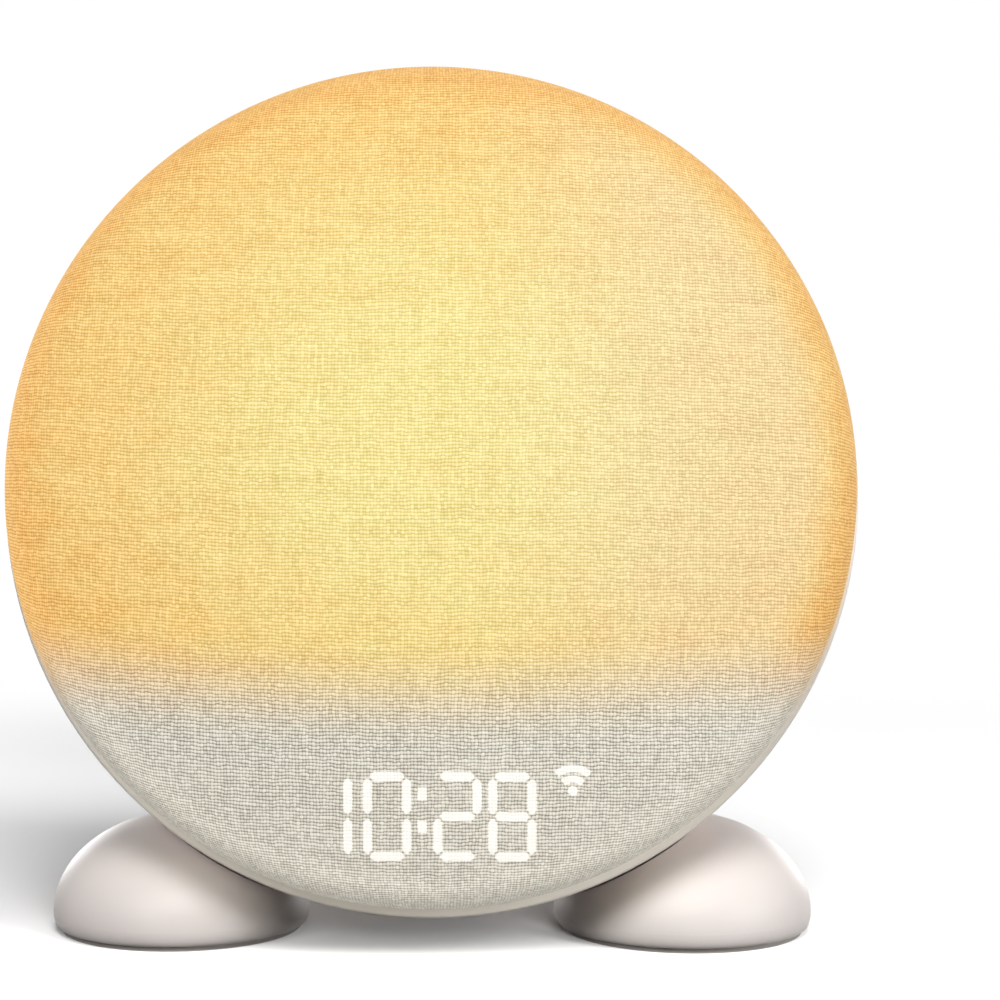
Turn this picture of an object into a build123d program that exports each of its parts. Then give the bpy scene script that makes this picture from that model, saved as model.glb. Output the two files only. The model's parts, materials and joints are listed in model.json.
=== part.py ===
from build123d import *
import os
from math import asin, cos, degrees, radians, sin, sqrt

# Bedside sunrise clock: a round fabric-fronted lamp and speaker that leans back on two domed feet.
# Millimetres. +Z is up, the front faces -Y, and the origin is under the middle of the whole object.
# "Level" is a distance along the body's own axis, counted forward from the front of the trim ring.

os.makedirs("parts", exist_ok=True)

# ---- driving dimensions: the body ------------------------------------------------------------
lean = 10.0  # degrees that the face looks up
body_radius = 90.0
shell_lift = 4.7  # air under the rear shell
rim_width = 1.8  # how far the trim ring stands out round the fabric
cover_wall = 9.0  # straight part of the fabric's side
shoulder_radius = 16.0
crown_radius = 280.0
trim_depth = 3.0
rear_depth = 42.0
rear_round = 34.0  # the rest of the depth is straight
shell_wall = 2.4
edge_round = 0.6
well_outset = 14.0  # from the start of the rear rounding to the housing screws

# ---- clearances ------------------------------------------------------------------------------
skin_gap = 0.3  # between curved faces
seat_gap = 0.2  # between flat faces that are screwed together
face_gap = 0.1  # between soldered or glued faces
head_gap = 0.05  # under a screw's head
slide_gap = 0.3  # round a moving button
thread_gap = 0.05
shank_gap = 0.4

# ---- driving dimensions: front ---------------------------------------------------------------
fabric_thickness = 0.8
hem_width = 5.7
diffuser_wall = 2.2
flange_width = 12.1
flange_thickness = 2.2
clamp_width = 4.0
clamp_thickness = 1.3
trim_lip = 0.5  # how far the trim ring reaches in past the hem
boss_radius = 3.2
boss_count = 6
boss_depth = 6.5  # of the screws in the bosses
boss_angle = 30.0  # of the first boss
screw_radius = 1.3
screw_head_radius = 2.6
screw_head_height = 1.6
screw_cross = (1.2, 0.3)  # the cross slot's length and width, in head radii

# ---- driving dimensions: middle --------------------------------------------------------------
frame_level = -6.5  # front face of the mid frame
frame_thickness = 2.0
frame_rim_width = 2.5
board_thickness = 1.6
reflector_wall = 1.2
reflector_gap = 0.8  # to the diffuser's flange
reflector_flare = 7.7
reflector_lip = 1.8
reflector_top = 2.8
glow_rise = 12.5  # from the display's top to the lit side of the baffle
baffle_room = 1.0  # between the reflector's straight edge and the baffle
baffle_inset = 1.6
baffle_wall = 1.6
led_board_margin = 4.5  # to the edge of the reflector's floor
led_board_rise = 1.5  # of the board's straight edge over the baffle
led_pitch = 13.0
led_size = 3.5
led_height = 1.1
led_lens = (0.4, 0.3)  # the lens cup's radius in led sizes and its depth in led heights
link_length = 18.0
link_width = 5.0
link_room = 1.0

# ---- driving dimensions: display -------------------------------------------------------------
display_rise = 19.8  # of the display's middle over the body's lower edge
display_side = 7.2  # beside the icon, for a post and its screw
display_tall = 22.0
display_edge_gap = 1.6  # to the inside of the dome
display_level = 5.0  # back of the display board
display_frame_depth = 3.5
digit_width = 9.5
digit_tall = 17.2
segment_width = 1.8
segment_gap = 0.9  # between the ends of two segments in line
segment_end = 0.15  # half the width that is left at a segment's end
window_gap = 0.1
digit_gap = 1.25
one_gap = 2.1  # between the narrow first digit and the second
digit_segments = ("bc", "abcdef", "abdeg", "abcdefg")
colon_centre = -1.0
colon_rise = 1.2  # of the colon's middle over the display's middle
colon_spread = 3.2  # of each dot from the colon's middle
colon_tall = 2.4
icon_gap = 3.5
icon_rise = 4.1  # of the arcs' centre over the display's middle
icon_dot = 0.95
icon_arcs = (3.2, 5.25)
icon_line = 1.4
icon_fan = 30.0  # degrees that the arcs reach to each side
display_post_inset = (4.0, 2.5)
display_post_floor = 2.0
display_screw_length = 7.0
display_post_radius = 2.5

# ---- driving dimensions: rear ----------------------------------------------------------------
housing_boss_radius = 4.6
housing_seat = -20.0
well_radius = 3.4
button_row_height = 28.0
button_places = {"light": -33.0, "volume_down": -11.0, "volume_up": 11.0, "sound": 33.0}
button_radius = 5.5
snooze_height = 45.0
snooze_length = 30.0
snooze_width = 9.0
button_proud = 1.4
button_flange = 1.2
button_flange_thickness = 1.0
button_travel = 0.7
stem_radius = 1.8
stem_length = 1.8
plunger_radius = 1.6
plunger_length = 2.0
plunger_stand = 0.8  # how far a plunger stands out of its switch at rest
switch_size = 6.0
switch_height = 3.6
switch_floor_gap = 0.2
button_board_width = 80.0
button_board_tall = 30.0
button_board_height = 36.0
button_post_places = ((-38.0, 40.0), (38.0, 40.0), (0.0, 31.0))
post_radius = 2.5
post_floor = 1.0  # left under a screw hole, inside the back panel
inlet_height = -50.0
inlet_width = 8.9
inlet_tall = 3.2
inlet_wall = 0.35
inlet_depth = 9.5
inlet_inset = 0.4
tongue_thickness = 0.7
tongue_side = 1.5  # total room beside the tongue
tongue_root = 1.5
tongue_inset = 1.0
inlet_post_offset = 8.4
inlet_board_width = 22.0
inlet_board_tall = 11.0
inlet_post_radius = 2.2

# ---- driving dimensions: speaker -------------------------------------------------------------
speaker_height = -14.0
grille_radius = 21.0
grille_thickness = 1.0
grille_pitch = 2.9
grille_hole_radius = 0.85
grille_rings = 6
sound_opening_radius = 19.0
basket_radius = 28.5
basket_opening = 21.3
basket_wall = 1.4
basket_length = 16.0
gasket_thickness = 1.0
magnet_radius = 15.0
magnet_length = 7.5
magnet_floor = 1.8
coil_radius = 6.3
coil_wall = 0.6
coil_room = 0.5
cone_radius = 17.4
cone_depth = 9.5
cap_rise = 3.2
paper = 0.8
cone_stroke = 1.0
speaker_screw_inset = 2.8
speaker_screw_head = (2.2, 1.2)
speaker_screw_depth = 1.5
speaker_pilot_depth = 1.4
basket_window = (12.0, 13.0, 7.5)  # width, height and depth
basket_window_rise = 4.0
coil_reach = 5.5  # behind the magnet
plate_thickness = 1.5
spider_drop = 2.6

# ---- driving dimensions: electronics ---------------------------------------------------------
main_board_width = 84.0
main_board_tall = 46.0
main_board_height = 37.0
standoff = 2.0
board_screw_inset = 4.0
board_screw_length = 5.0
ribbon_thickness = 0.3
lead_radius = 0.7
lead_drop = 6.8  # how far the leads run behind the plugs
connector_height = 5.0
low_connector_height = 3.0
flex_width = 10.0
flex_slot = (14.0, 3.0)

# ---- driving dimensions: feet ----------------------------------------------------------------
foot_centre = 53.9
foot_back = 13.0  # how far the feet's centres are behind the body's centre
foot_across = 27.5  # half of a foot's width
foot_along = 32.5  # half of its length, front to back
foot_dome = 20.4
foot_waist = 3.0  # height of the widest line
foot_tuck = 1.2
foot_wall = 2.4
pad_thickness = 1.0
pad_inset = 1.9
foot_base_thickness = 1.8
foot_post_radius = 3.4
foot_boss_cover = 1.5  # of the boss over the screw's tip
foot_tip_gap = 0.5
foot_screw_radius = 1.5
foot_screw_length = 22.0
foot_screw_seat = 6.0
foot_screw_inward = (13.2, 3.2)
foot_screw_back = -3.0
body_gap = 0.4  # between a foot's saddle and the body

# ---- worked out ------------------------------------------------------------------------------
lean_sin = sin(radians(lean))
lean_cos = cos(radians(lean))
cover_radius = body_radius - rim_width
shoulder_centre = cover_radius - shoulder_radius
crown_angle = degrees(asin(shoulder_centre / (crown_radius - shoulder_radius)))
crown_drop = (crown_radius - shoulder_radius) * cos(radians(crown_angle)) - cover_wall
rear_centre = body_radius - rear_round
rear_straight = rear_depth - rear_round

front_reach = crown_radius - crown_drop * lean_cos
rear_reach = rear_centre * lean_sin + rear_straight * lean_cos + rear_round
low_reach = rear_centre * lean_cos + rear_straight * lean_sin + rear_round
body_y = (front_reach - rear_reach) / 2
body_z = shell_lift + low_reach

body = Plane(origin=(0, body_y, body_z), x_dir=(1, 0, 0), z_dir=(0, -lean_cos, lean_sin))
side = Plane(origin=body.origin, x_dir=(1, 0, 0), z_dir=-body.y_dir)  # x is radius, y is level
spin = Axis(body.origin, body.z_dir)

hem_low = seat_gap
hem_inner = cover_radius - hem_width
diffuser_outset = fabric_thickness + skin_gap
diffuser_inset = diffuser_outset + diffuser_wall
diffuser_low = hem_low + fabric_thickness + skin_gap
flange_inner = cover_radius - diffuser_outset - flange_width
trim_low = -trim_depth
clamp_outer = hem_inner + clamp_width
trim_inner = hem_inner - trim_lip
boss_circle = flange_inner + boss_radius + face_gap
housing_circle = rear_centre + well_outset
shell_front = trim_low - seat_gap
shell_inner = body_radius - shell_wall
frame_back = frame_level - frame_thickness
frame_radius = shell_inner - skin_gap
panel_back = -rear_depth
panel_inner = panel_back + shell_wall
reflector_outer = flange_inner - reflector_gap
reflector_floor_radius = reflector_outer - reflector_flare
led_board_radius = reflector_floor_radius - led_board_margin
led_screw_offset = 2.5 * led_pitch  # between two rows of leds
link_height = 1.5 * led_pitch
reflector_back = frame_level + skin_gap
reflector_floor = reflector_back + reflector_wall
led_board_back = reflector_floor + seat_gap
led_board_front = led_board_back + board_thickness
display_board_front = display_level + board_thickness
display_frame_back = display_board_front + seat_gap
display_frame_front = display_frame_back + display_frame_depth
display_dome = sqrt((shoulder_radius - diffuser_inset) ** 2 - (display_frame_front - cover_wall) ** 2)
display_reach = shoulder_centre + display_dome - display_edge_gap
display_height = display_rise - body_radius
glow_edge = display_height + display_tall / 2 + glow_rise
beside_colon = segment_width / 2 + digit_gap + digit_width / 2
second_digit = colon_centre - beside_colon
third_digit = colon_centre + beside_colon
first_digit = second_digit - digit_width / 2 - one_gap - segment_width / 2
fourth_digit = third_digit + digit_width + digit_gap
digit_centres = (first_digit, second_digit, third_digit, fourth_digit)
icon_half = icon_arcs[-1] * sin(radians(icon_fan)) + icon_line / 2
icon_centre = fourth_digit + digit_width / 2 + icon_gap + icon_half
display_width = 2 * (icon_centre + icon_half + display_side)
main_board_front = frame_back - standoff
main_board_back = main_board_front - board_thickness
plug_back = main_board_back - connector_height
lead_level = plug_back - lead_drop
cap_back = panel_inner + seat_gap  # the button flanges rest here, behind the panel
cap_stem_end = cap_back + button_flange_thickness + stem_length
plunger_end = cap_stem_end + face_gap
switch_top = plunger_end + plunger_stand
switch_base = switch_top + switch_height
button_board_back = switch_base + face_gap
inlet_mouth = panel_back + inlet_inset
inlet_base = inlet_mouth + inlet_depth
inlet_board_back = inlet_base + face_gap
foot_y = body_y + foot_back
dome_waist = foot_waist + pad_thickness
buttons = {name: (x, button_row_height) for name, x in button_places.items()}
buttons["snooze"] = (0.0, snooze_height)


def level(height):
    """Plane across the body's axis at a level."""
    return body.offset(height)


def dome_line(inset):
    """Half outline of the front dome, from the top of its straight side to its crown."""
    CenterArc((shoulder_centre, cover_wall), shoulder_radius - inset, 0, 90 - crown_angle)
    CenterArc((0, -crown_drop), crown_radius - inset, 90 - crown_angle, crown_angle)


def crown(inset):
    """Level of the dome's middle."""
    return crown_radius - crown_drop - inset


def disc(radius, low, high, bore=0.0, mode=Mode.ADD):
    """Disc or ring about the body's axis, between two levels."""
    with BuildSketch(level(low)) as outline:
        Circle(radius)
        if bore:
            Circle(bore, mode=Mode.SUBTRACT)
    extrude(outline.sketch, amount=high - low, mode=mode)


def posts(places, radius, low, high, mode=Mode.ADD):
    """Round posts or holes along the body's axis, between two levels."""
    with BuildSketch(level(low)) as outline:
        with Locations(*places):
            Circle(radius)
    extrude(outline.sketch, amount=high - low, mode=mode)


def blocks(places, width, tall, low, high, mode=Mode.ADD):
    """Rectangular blocks or slots along the body's axis, between two levels."""
    with BuildSketch(level(low)) as outline:
        with Locations(*places):
            Rectangle(width, tall)
    extrude(outline.sketch, amount=high - low, mode=mode)


def around(radius, count, start=0.0):
    """Evenly spaced places on a circle about the body's axis."""
    angles = [radians(start + 360 * step / count) for step in range(count)]
    return [(radius * cos(angle), radius * sin(angle)) for angle in angles]


def screws(places, seat, length, radius, head_radius, head_height, forward=True):
    """Pan-head screws along the body's axis: the head lies behind the seat level, or in front."""
    way = 1 if forward else -1
    heads = (seat - way * head_height, seat)
    tips = (seat, seat + way * length)
    posts(places, head_radius, min(heads), max(heads))
    posts(places, radius, min(tips), max(tips))
    slot = (seat - way * head_height, seat - way * head_height / 2)
    long, wide = [share * head_radius for share in screw_cross]
    blocks(places, long, wide, min(slot), max(slot), Mode.SUBTRACT)
    blocks(places, wide, long, min(slot), max(slot), Mode.SUBTRACT)


def save(piece, name):
    """Labels a finished piece and writes it."""
    piece.part.label = name
    export_step(piece.part, f"parts/{name}.step")


boss_places = around(boss_circle, boss_count, boss_angle)
housing_places = around(housing_circle, 4, 45)
corner_sides = [(x, y) for x in (-1, 1) for y in (-1, 1)]
led_screw_places = [(x * led_screw_offset, y * led_screw_offset) for x, y in corner_sides]
display_post_offset = display_width / 2 - display_post_inset[0]
display_post_height = display_height + display_tall / 2 - display_post_inset[1]
display_post_places = [(x * display_post_offset, display_post_height) for x in (-1, 1)]
board_screw_x = main_board_width / 2 - board_screw_inset
board_screw_y = main_board_tall / 2 - board_screw_inset
main_board_places = [(x * board_screw_x, main_board_height + y * board_screw_y) for x, y in corner_sides]
speaker_screw_circle = basket_radius - speaker_screw_inset
speaker_screw_places = [(x, y + speaker_height) for x, y in around(speaker_screw_circle, 4, 45)]
inlet_post_places = [(x * inlet_post_offset, inlet_height) for x in (-1, 1)]

# ==== envelopes that other pieces are cut to ==================================================


def envelope(grow):
    """Solid of the whole body, grown outwards by a gap."""
    with BuildPart() as form:
        with BuildSketch(side):
            with BuildLine():
                dome_line(-grow)
                Line((cover_radius + grow, cover_wall), (cover_radius + grow, grow))
                Line((cover_radius + grow, grow), (body_radius + grow, grow))
                Line((body_radius + grow, grow), (body_radius + grow, -rear_straight))
                CenterArc((rear_centre, -rear_straight), rear_round + grow, -90, 90)
                Line((rear_centre, panel_back - grow), (0, panel_back - grow))
                Line((0, panel_back - grow), (0, crown(-grow)))
            make_face()
        revolve(axis=spin)
    return form.part


def dome_solid(inset, low):
    """Solid under the front dome, above a level."""
    with BuildPart() as form:
        with BuildSketch(side):
            with BuildLine():
                dome_line(inset)
                Line((cover_radius - inset, cover_wall), (cover_radius - inset, low))
                Line((cover_radius - inset, low), (0, low))
                Line((0, low), (0, crown(inset)))
            make_face()
        revolve(axis=spin)
    return form.part


# ==== front ===================================================================================
with BuildPart() as fabric_cover:
    with BuildSketch(side):
        with BuildLine():
            dome_line(0)
            Line((cover_radius, cover_wall), (cover_radius, hem_low))
            Line((cover_radius, hem_low), (hem_inner, hem_low))
            Line((hem_inner, hem_low), (hem_inner, hem_low + fabric_thickness))
            Line(
                (hem_inner, hem_low + fabric_thickness),
                (cover_radius - fabric_thickness, hem_low + fabric_thickness),
            )
            Line(
                (cover_radius - fabric_thickness, hem_low + fabric_thickness),
                (cover_radius - fabric_thickness, cover_wall),
            )
            dome_line(fabric_thickness)
            Line((0, crown(fabric_thickness)), (0, crown(0)))
        make_face()
    revolve(axis=spin)
save(fabric_cover, "fabric_cover")

with BuildPart() as front_diffuser:
    with BuildSketch(side):
        with BuildLine():
            dome_line(diffuser_outset)
            Line((cover_radius - diffuser_outset, cover_wall), (cover_radius - diffuser_outset, diffuser_low))
            Line((cover_radius - diffuser_outset, diffuser_low), (flange_inner, diffuser_low))
            Line((flange_inner, diffuser_low), (flange_inner, diffuser_low + flange_thickness))
            Line(
                (flange_inner, diffuser_low + flange_thickness),
                (cover_radius - diffuser_inset, diffuser_low + flange_thickness),
            )
            Line(
                (cover_radius - diffuser_inset, diffuser_low + flange_thickness),
                (cover_radius - diffuser_inset, cover_wall),
            )
            dome_line(diffuser_inset)
            Line((0, crown(diffuser_inset)), (0, crown(diffuser_outset)))
        make_face()
    revolve(axis=spin)
    posts(boss_places, boss_radius, frame_level + seat_gap, diffuser_low + flange_thickness / 2)
    posts(
        boss_places,
        screw_radius + thread_gap,
        frame_level + seat_gap,
        diffuser_low + flange_thickness / 2,
        Mode.SUBTRACT,
    )
save(front_diffuser, "front_diffuser")

with BuildPart() as fabric_clamp_ring:
    disc(clamp_outer, -clamp_thickness, 0, hem_inner)
save(fabric_clamp_ring, "fabric_clamp_ring")

with BuildPart() as trim_ring:
    disc(body_radius, trim_low, 0, clamp_outer + skin_gap)
    disc(clamp_outer + skin_gap, trim_low, -clamp_thickness - seat_gap, trim_inner)
    outer_edges = trim_ring.edges().filter_by(GeomType.CIRCLE).group_by(lambda edge: edge.radius)[-1]
    fillet(outer_edges, edge_round)
save(trim_ring, "trim_ring")

# ==== middle ==================================================================================
flex_slot_height = display_height + display_tall / 2 + flex_slot[1]
link_hole = (link_length + link_room, link_width + link_room)
with BuildPart() as mid_frame:
    disc(frame_radius, frame_back, frame_level)
    disc(frame_radius, frame_level, shell_front, frame_radius - frame_rim_width)
    posts(display_post_places, display_post_radius, frame_level, display_level - face_gap)
    posts(main_board_places, post_radius, frame_back, main_board_front + face_gap)
    posts(boss_places, screw_radius + shank_gap, frame_back, frame_level, Mode.SUBTRACT)
    posts(
        main_board_places + led_screw_places,
        screw_radius + thread_gap,
        frame_level,
        main_board_front,
        Mode.SUBTRACT,
    )
    posts(housing_places, screw_radius + thread_gap, frame_back, frame_level, Mode.SUBTRACT)
    posts(
        display_post_places,
        screw_radius + thread_gap,
        frame_level + display_post_floor,
        display_level,
        Mode.SUBTRACT,
    )
    blocks([(0, link_height)], *link_hole, frame_back, frame_level, Mode.SUBTRACT)
    blocks([(0, flex_slot_height)], *flex_slot, frame_back, frame_level, Mode.SUBTRACT)
save(mid_frame, "mid_frame")

with BuildPart() as light_reflector:
    with BuildSketch(side):
        with BuildLine():
            Polyline(
                (0, reflector_back),
                (reflector_floor_radius, reflector_back),
                (reflector_outer, reflector_top),
                (reflector_outer - reflector_lip, reflector_top),
                (reflector_floor_radius - reflector_wall, reflector_floor),
                (0, reflector_floor),
                close=True,
            )
        make_face()
    revolve(axis=spin)
    blocks(
        [(0, glow_edge - baffle_wall - baffle_room - body_radius)],
        4 * body_radius,
        2 * body_radius,
        reflector_back,
        reflector_top,
        Mode.SUBTRACT,
    )
    posts(led_screw_places, screw_radius + shank_gap, reflector_back, reflector_floor, Mode.SUBTRACT)
    blocks([(0, link_height)], *link_hole, reflector_back, reflector_floor, Mode.SUBTRACT)
save(light_reflector, "light_reflector")

baffle_half = sqrt((reflector_floor_radius - baffle_inset) ** 2 - (glow_edge - baffle_wall) ** 2)
with BuildPart() as light_baffle:
    add(dome_solid(diffuser_inset + skin_gap, reflector_floor + seat_gap))
    with BuildSketch(level(reflector_floor + seat_gap)):
        with Locations((0, glow_edge - baffle_wall / 2)):
            Rectangle(2 * baffle_half, baffle_wall)
    extrude(amount=crown(0), mode=Mode.INTERSECT)
save(light_baffle, "light_baffle")

led_board_edge = glow_edge + led_board_rise
with BuildPart() as led_board:
    with BuildSketch(level(led_board_back)):
        Circle(led_board_radius)
        with Locations((0, led_board_edge + body_radius)):
            Rectangle(2 * body_radius, 2 * body_radius, mode=Mode.INTERSECT)
        with Locations(*led_screw_places):
            Circle(screw_radius + shank_gap, mode=Mode.SUBTRACT)
    extrude(amount=board_thickness)
save(led_board, "led_board")

led_steps = int(led_board_radius / led_pitch)
led_places = [
    (x * led_pitch, y * led_pitch)
    for x in range(-led_steps, led_steps + 1)
    for y in range(-led_steps, led_steps + 1)
    if (x * led_pitch) ** 2 + (y * led_pitch) ** 2 < (led_board_radius - led_size) ** 2
    and y * led_pitch > led_board_edge + led_size
]
with BuildPart() as glow_leds:
    blocks(led_places, led_size, led_size, led_board_front, led_board_front + led_height)
    posts(
        led_places,
        led_size * led_lens[0],
        led_board_front + led_height * (1 - led_lens[1]),
        led_board_front + led_height,
        Mode.SUBTRACT,
    )
save(glow_leds, "glow_leds")

with BuildPart() as led_link:
    link_levels = (main_board_front + face_gap, led_board_back - face_gap)
    blocks([(0, link_height)], link_length, link_width, *link_levels)
save(led_link, "led_link")

# ==== display =================================================================================


def display_outline():
    """Board outline inside the dome's edge, in the current sketch."""
    with Locations((0, display_height)):
        Rectangle(display_width, display_tall)
    Circle(display_reach, mode=Mode.INTERSECT)


def segment_places(letters, centre):
    """Middle and turn of each lit segment of one digit."""
    half = (digit_width - segment_width) / 2
    quarter = (digit_tall - segment_width) / 4
    places = {
        "a": (0, 2 * quarter, 0),
        "b": (half, quarter, 90),
        "c": (half, -quarter, 90),
        "d": (0, -2 * quarter, 0),
        "e": (-half, -quarter, 90),
        "f": (-half, quarter, 90),
        "g": (0, 0, 0),
    }
    if letters == "bc":
        places["b"] = (0, quarter, 90)
        places["c"] = (0, -quarter, 90)
    chosen = [places[letter] for letter in letters]
    return [(centre + x, display_height + y, turn) for x, y, turn in chosen]


upright_length = (digit_tall - segment_width) / 2 - segment_gap
cross_length = digit_width - segment_width - segment_gap
icon_foot = display_height + icon_rise
arc_lines = [
    CenterArc((icon_centre, icon_foot), radius, 90 - icon_fan, 2 * icon_fan) for radius in icon_arcs
]


def segment(length, grow):
    """Bar with chamfered ends, grown by a gap, in the current sketch."""
    half = segment_width / 2 + grow
    end = length / 2 + grow
    blunt = segment_end + grow * (sqrt(2) - 1)
    square = end + blunt - half
    corners = [(end, blunt), (square, half), (-square, half), (-end, blunt)]
    Polygon(*corners, *[(x, -y) for x, y in reversed(corners)])


def lit_marks(grow):
    """Every segment, the colon and the arcs icon, each grown by a gap, in the current sketch."""
    for centre, letters in zip(digit_centres, digit_segments):
        for x, y, turn in segment_places(letters, centre):
            with Locations(Location((x, y, 0), (0, 0, turn))):
                segment(upright_length if turn else cross_length, grow)
    colon_middle = display_height + colon_rise
    with Locations(*[(colon_centre, colon_middle + way * colon_spread) for way in (-1, 1)]):
        Rectangle(segment_width + 2 * grow, colon_tall + 2 * grow)
    with Locations((icon_centre, icon_foot + icon_dot)):
        Circle(icon_dot + grow)
    for line in arc_lines:
        SlotArc(line, icon_line + 2 * grow)


with BuildPart() as display_frame:
    with BuildSketch(level(display_frame_back)):
        display_outline()
    extrude(amount=display_frame_depth)
    with BuildSketch(level(display_frame_back)):
        lit_marks(window_gap)
    extrude(amount=display_frame_depth, mode=Mode.SUBTRACT)
    posts(
        display_post_places,
        screw_head_radius + shank_gap,
        display_frame_back,
        display_frame_front,
        Mode.SUBTRACT,
    )
save(display_frame, "display_frame")

with BuildPart() as display_segments:
    with BuildSketch(level(display_frame_back)):
        lit_marks(0)
    extrude(amount=display_frame_depth)
save(display_segments, "display_segments")

with BuildPart() as display_board:
    with BuildSketch(level(display_level)):
        display_outline()
        with Locations(*display_post_places):
            Circle(screw_radius + shank_gap, mode=Mode.SUBTRACT)
    extrude(amount=board_thickness)
save(display_board, "display_board")

# ==== rear shell ==============================================================================


def rear_line(inset):
    """Half outline of the rear shell, or of its cavity."""
    Line((0, shell_front), (body_radius - inset, shell_front))
    Line((body_radius - inset, shell_front), (body_radius - inset, -rear_straight))
    CenterArc((rear_centre, -rear_straight), rear_round - inset, -90, 90)
    Line((rear_centre, panel_back + inset), (0, panel_back + inset))
    Line((0, panel_back + inset), (0, shell_front))


def foot_screw_places(way):
    """World places of one foot's screws, seen from above."""
    return [(way * (foot_centre - inward), foot_y + foot_screw_back) for inward in foot_screw_inward]


all_foot_screw_places = foot_screw_places(-1) + foot_screw_places(1)

with BuildPart() as rear_solid:
    with BuildSketch(side):
        with BuildLine():
            rear_line(0)
        make_face()
    revolve(axis=spin)

with BuildPart() as foot_bosses:
    with BuildSketch(Plane.XY):
        with Locations(*all_foot_screw_places):
            Circle(foot_post_radius)
    extrude(amount=foot_screw_seat + foot_screw_length + foot_boss_cover)
    add(rear_solid.part, mode=Mode.INTERSECT)

with BuildPart() as rear_shell:
    add(rear_solid.part)
    with BuildSketch(side):
        with BuildLine():
            rear_line(shell_wall)
        make_face()
    revolve(axis=spin, mode=Mode.SUBTRACT)
    # Screw wells: a tube from the frame to the curved wall, with the head's seat inside.
    with BuildSketch(level(frame_back - seat_gap)) as well_tubes:
        with Locations(*housing_places):
            Circle(housing_boss_radius)
    extrude(well_tubes.sketch, amount=-(rear_depth - shell_wall + frame_back - seat_gap))
    add(foot_bosses.part)
    add(rear_solid.part, mode=Mode.INTERSECT)
    posts(housing_places, well_radius, panel_back, housing_seat, Mode.SUBTRACT)
    posts(housing_places, screw_radius + shank_gap, housing_seat, frame_back, Mode.SUBTRACT)
    with BuildSketch(Plane.XY) as foot_pilots:
        with Locations(*all_foot_screw_places):
            Circle(foot_screw_radius + thread_gap)
    pilot_length = foot_screw_seat + foot_screw_length + foot_tip_gap
    extrude(foot_pilots.sketch, amount=pilot_length, mode=Mode.SUBTRACT)
    # Posts for the button board and the inlet board.
    pilot_radius = screw_radius + thread_gap
    pilot_floor = panel_inner + post_floor
    posts(button_post_places, post_radius, panel_inner - face_gap, button_board_back - face_gap)
    posts(button_post_places, pilot_radius, pilot_floor, button_board_back, Mode.SUBTRACT)
    posts(inlet_post_places, inlet_post_radius, panel_inner - face_gap, inlet_board_back - face_gap)
    posts(inlet_post_places, pilot_radius, pilot_floor, inlet_board_back, Mode.SUBTRACT)
    # Openings in the back panel.
    with BuildSketch(level(panel_back)) as panel_holes:
        with Locations(*[(x, button_row_height) for x in button_places.values()]):
            Circle(button_radius + slide_gap)
        with Locations((0, snooze_height)):
            SlotOverall(snooze_length + 2 * slide_gap, snooze_width + 2 * slide_gap)
        with Locations((0, inlet_height)):
            SlotOverall(inlet_width + 2 * slide_gap, inlet_tall + 2 * slide_gap)
        with Locations((0, speaker_height)):
            Circle(sound_opening_radius)
    extrude(panel_holes.sketch, amount=shell_wall, mode=Mode.SUBTRACT)
    with BuildSketch(level(panel_back)) as grille_seat:
        with Locations((0, speaker_height)):
            Circle(grille_radius + skin_gap)
    extrude(grille_seat.sketch, amount=grille_thickness + seat_gap, mode=Mode.SUBTRACT)
    posts(speaker_screw_places, pilot_radius, panel_inner - speaker_pilot_depth, panel_inner, Mode.SUBTRACT)
save(rear_shell, "rear_shell")

with BuildPart() as speaker_grille:
    with BuildSketch(level(panel_back + face_gap)):
        with Locations((0, speaker_height)):
            Circle(grille_radius)
            for ring in range(1, grille_rings + 1):
                with PolarLocations(ring * grille_pitch, 6 * ring):
                    Circle(grille_hole_radius, mode=Mode.SUBTRACT)
            Circle(grille_hole_radius, mode=Mode.SUBTRACT)
    extrude(amount=grille_thickness)
save(speaker_grille, "speaker_grille")

# ==== buttons =================================================================================


def button_outline(name, grow):
    """Outline of one button cap, in the current sketch."""
    with Locations(buttons[name]):
        if name == "snooze":
            SlotOverall(snooze_length + 2 * grow, snooze_width + 2 * grow)
        else:
            Circle(button_radius + grow)


for name, place in buttons.items():
    with BuildPart() as cap:
        with BuildSketch(level(panel_back - button_proud)) as top:
            button_outline(name, 0)
        extrude(top.sketch, amount=button_proud + rear_depth + cap_back)
        rims = cap.faces().sort_by(spin)[0].edges()
        fillet(rims, edge_round)
        with BuildSketch(level(cap_back)) as flange:
            button_outline(name, button_flange)
        extrude(flange.sketch, amount=button_flange_thickness)
        posts([place], stem_radius, cap_back, cap_stem_end)
    save(cap, f"{name}_button")
    with BuildPart() as plunger:
        posts([place], plunger_radius, plunger_end, plunger_end + plunger_length)
    save(plunger, f"{name}_plunger")

with BuildPart() as switch_bodies:
    blocks(buttons.values(), switch_size, switch_size, switch_top, switch_base)
    posts(
        buttons.values(),
        plunger_radius + thread_gap,
        switch_top,
        plunger_end + plunger_length + button_travel + switch_floor_gap,
        Mode.SUBTRACT,
    )
save(switch_bodies, "switch_bodies")

with BuildPart() as button_board:
    blocks(
        [(0, button_board_height)],
        button_board_width,
        button_board_tall,
        button_board_back,
        button_board_back + board_thickness,
    )
    posts(
        button_post_places,
        screw_radius + shank_gap,
        button_board_back,
        button_board_back + board_thickness,
        Mode.SUBTRACT,
    )
save(button_board, "button_board")

# ==== power inlet =============================================================================
with BuildPart() as inlet_shell:
    with BuildSketch(level(inlet_mouth)):
        with Locations((0, inlet_height)):
            SlotOverall(inlet_width, inlet_tall)
            SlotOverall(inlet_width - 2 * inlet_wall, inlet_tall - 2 * inlet_wall, mode=Mode.SUBTRACT)
    extrude(amount=inlet_depth)
save(inlet_shell, "inlet_shell")

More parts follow.
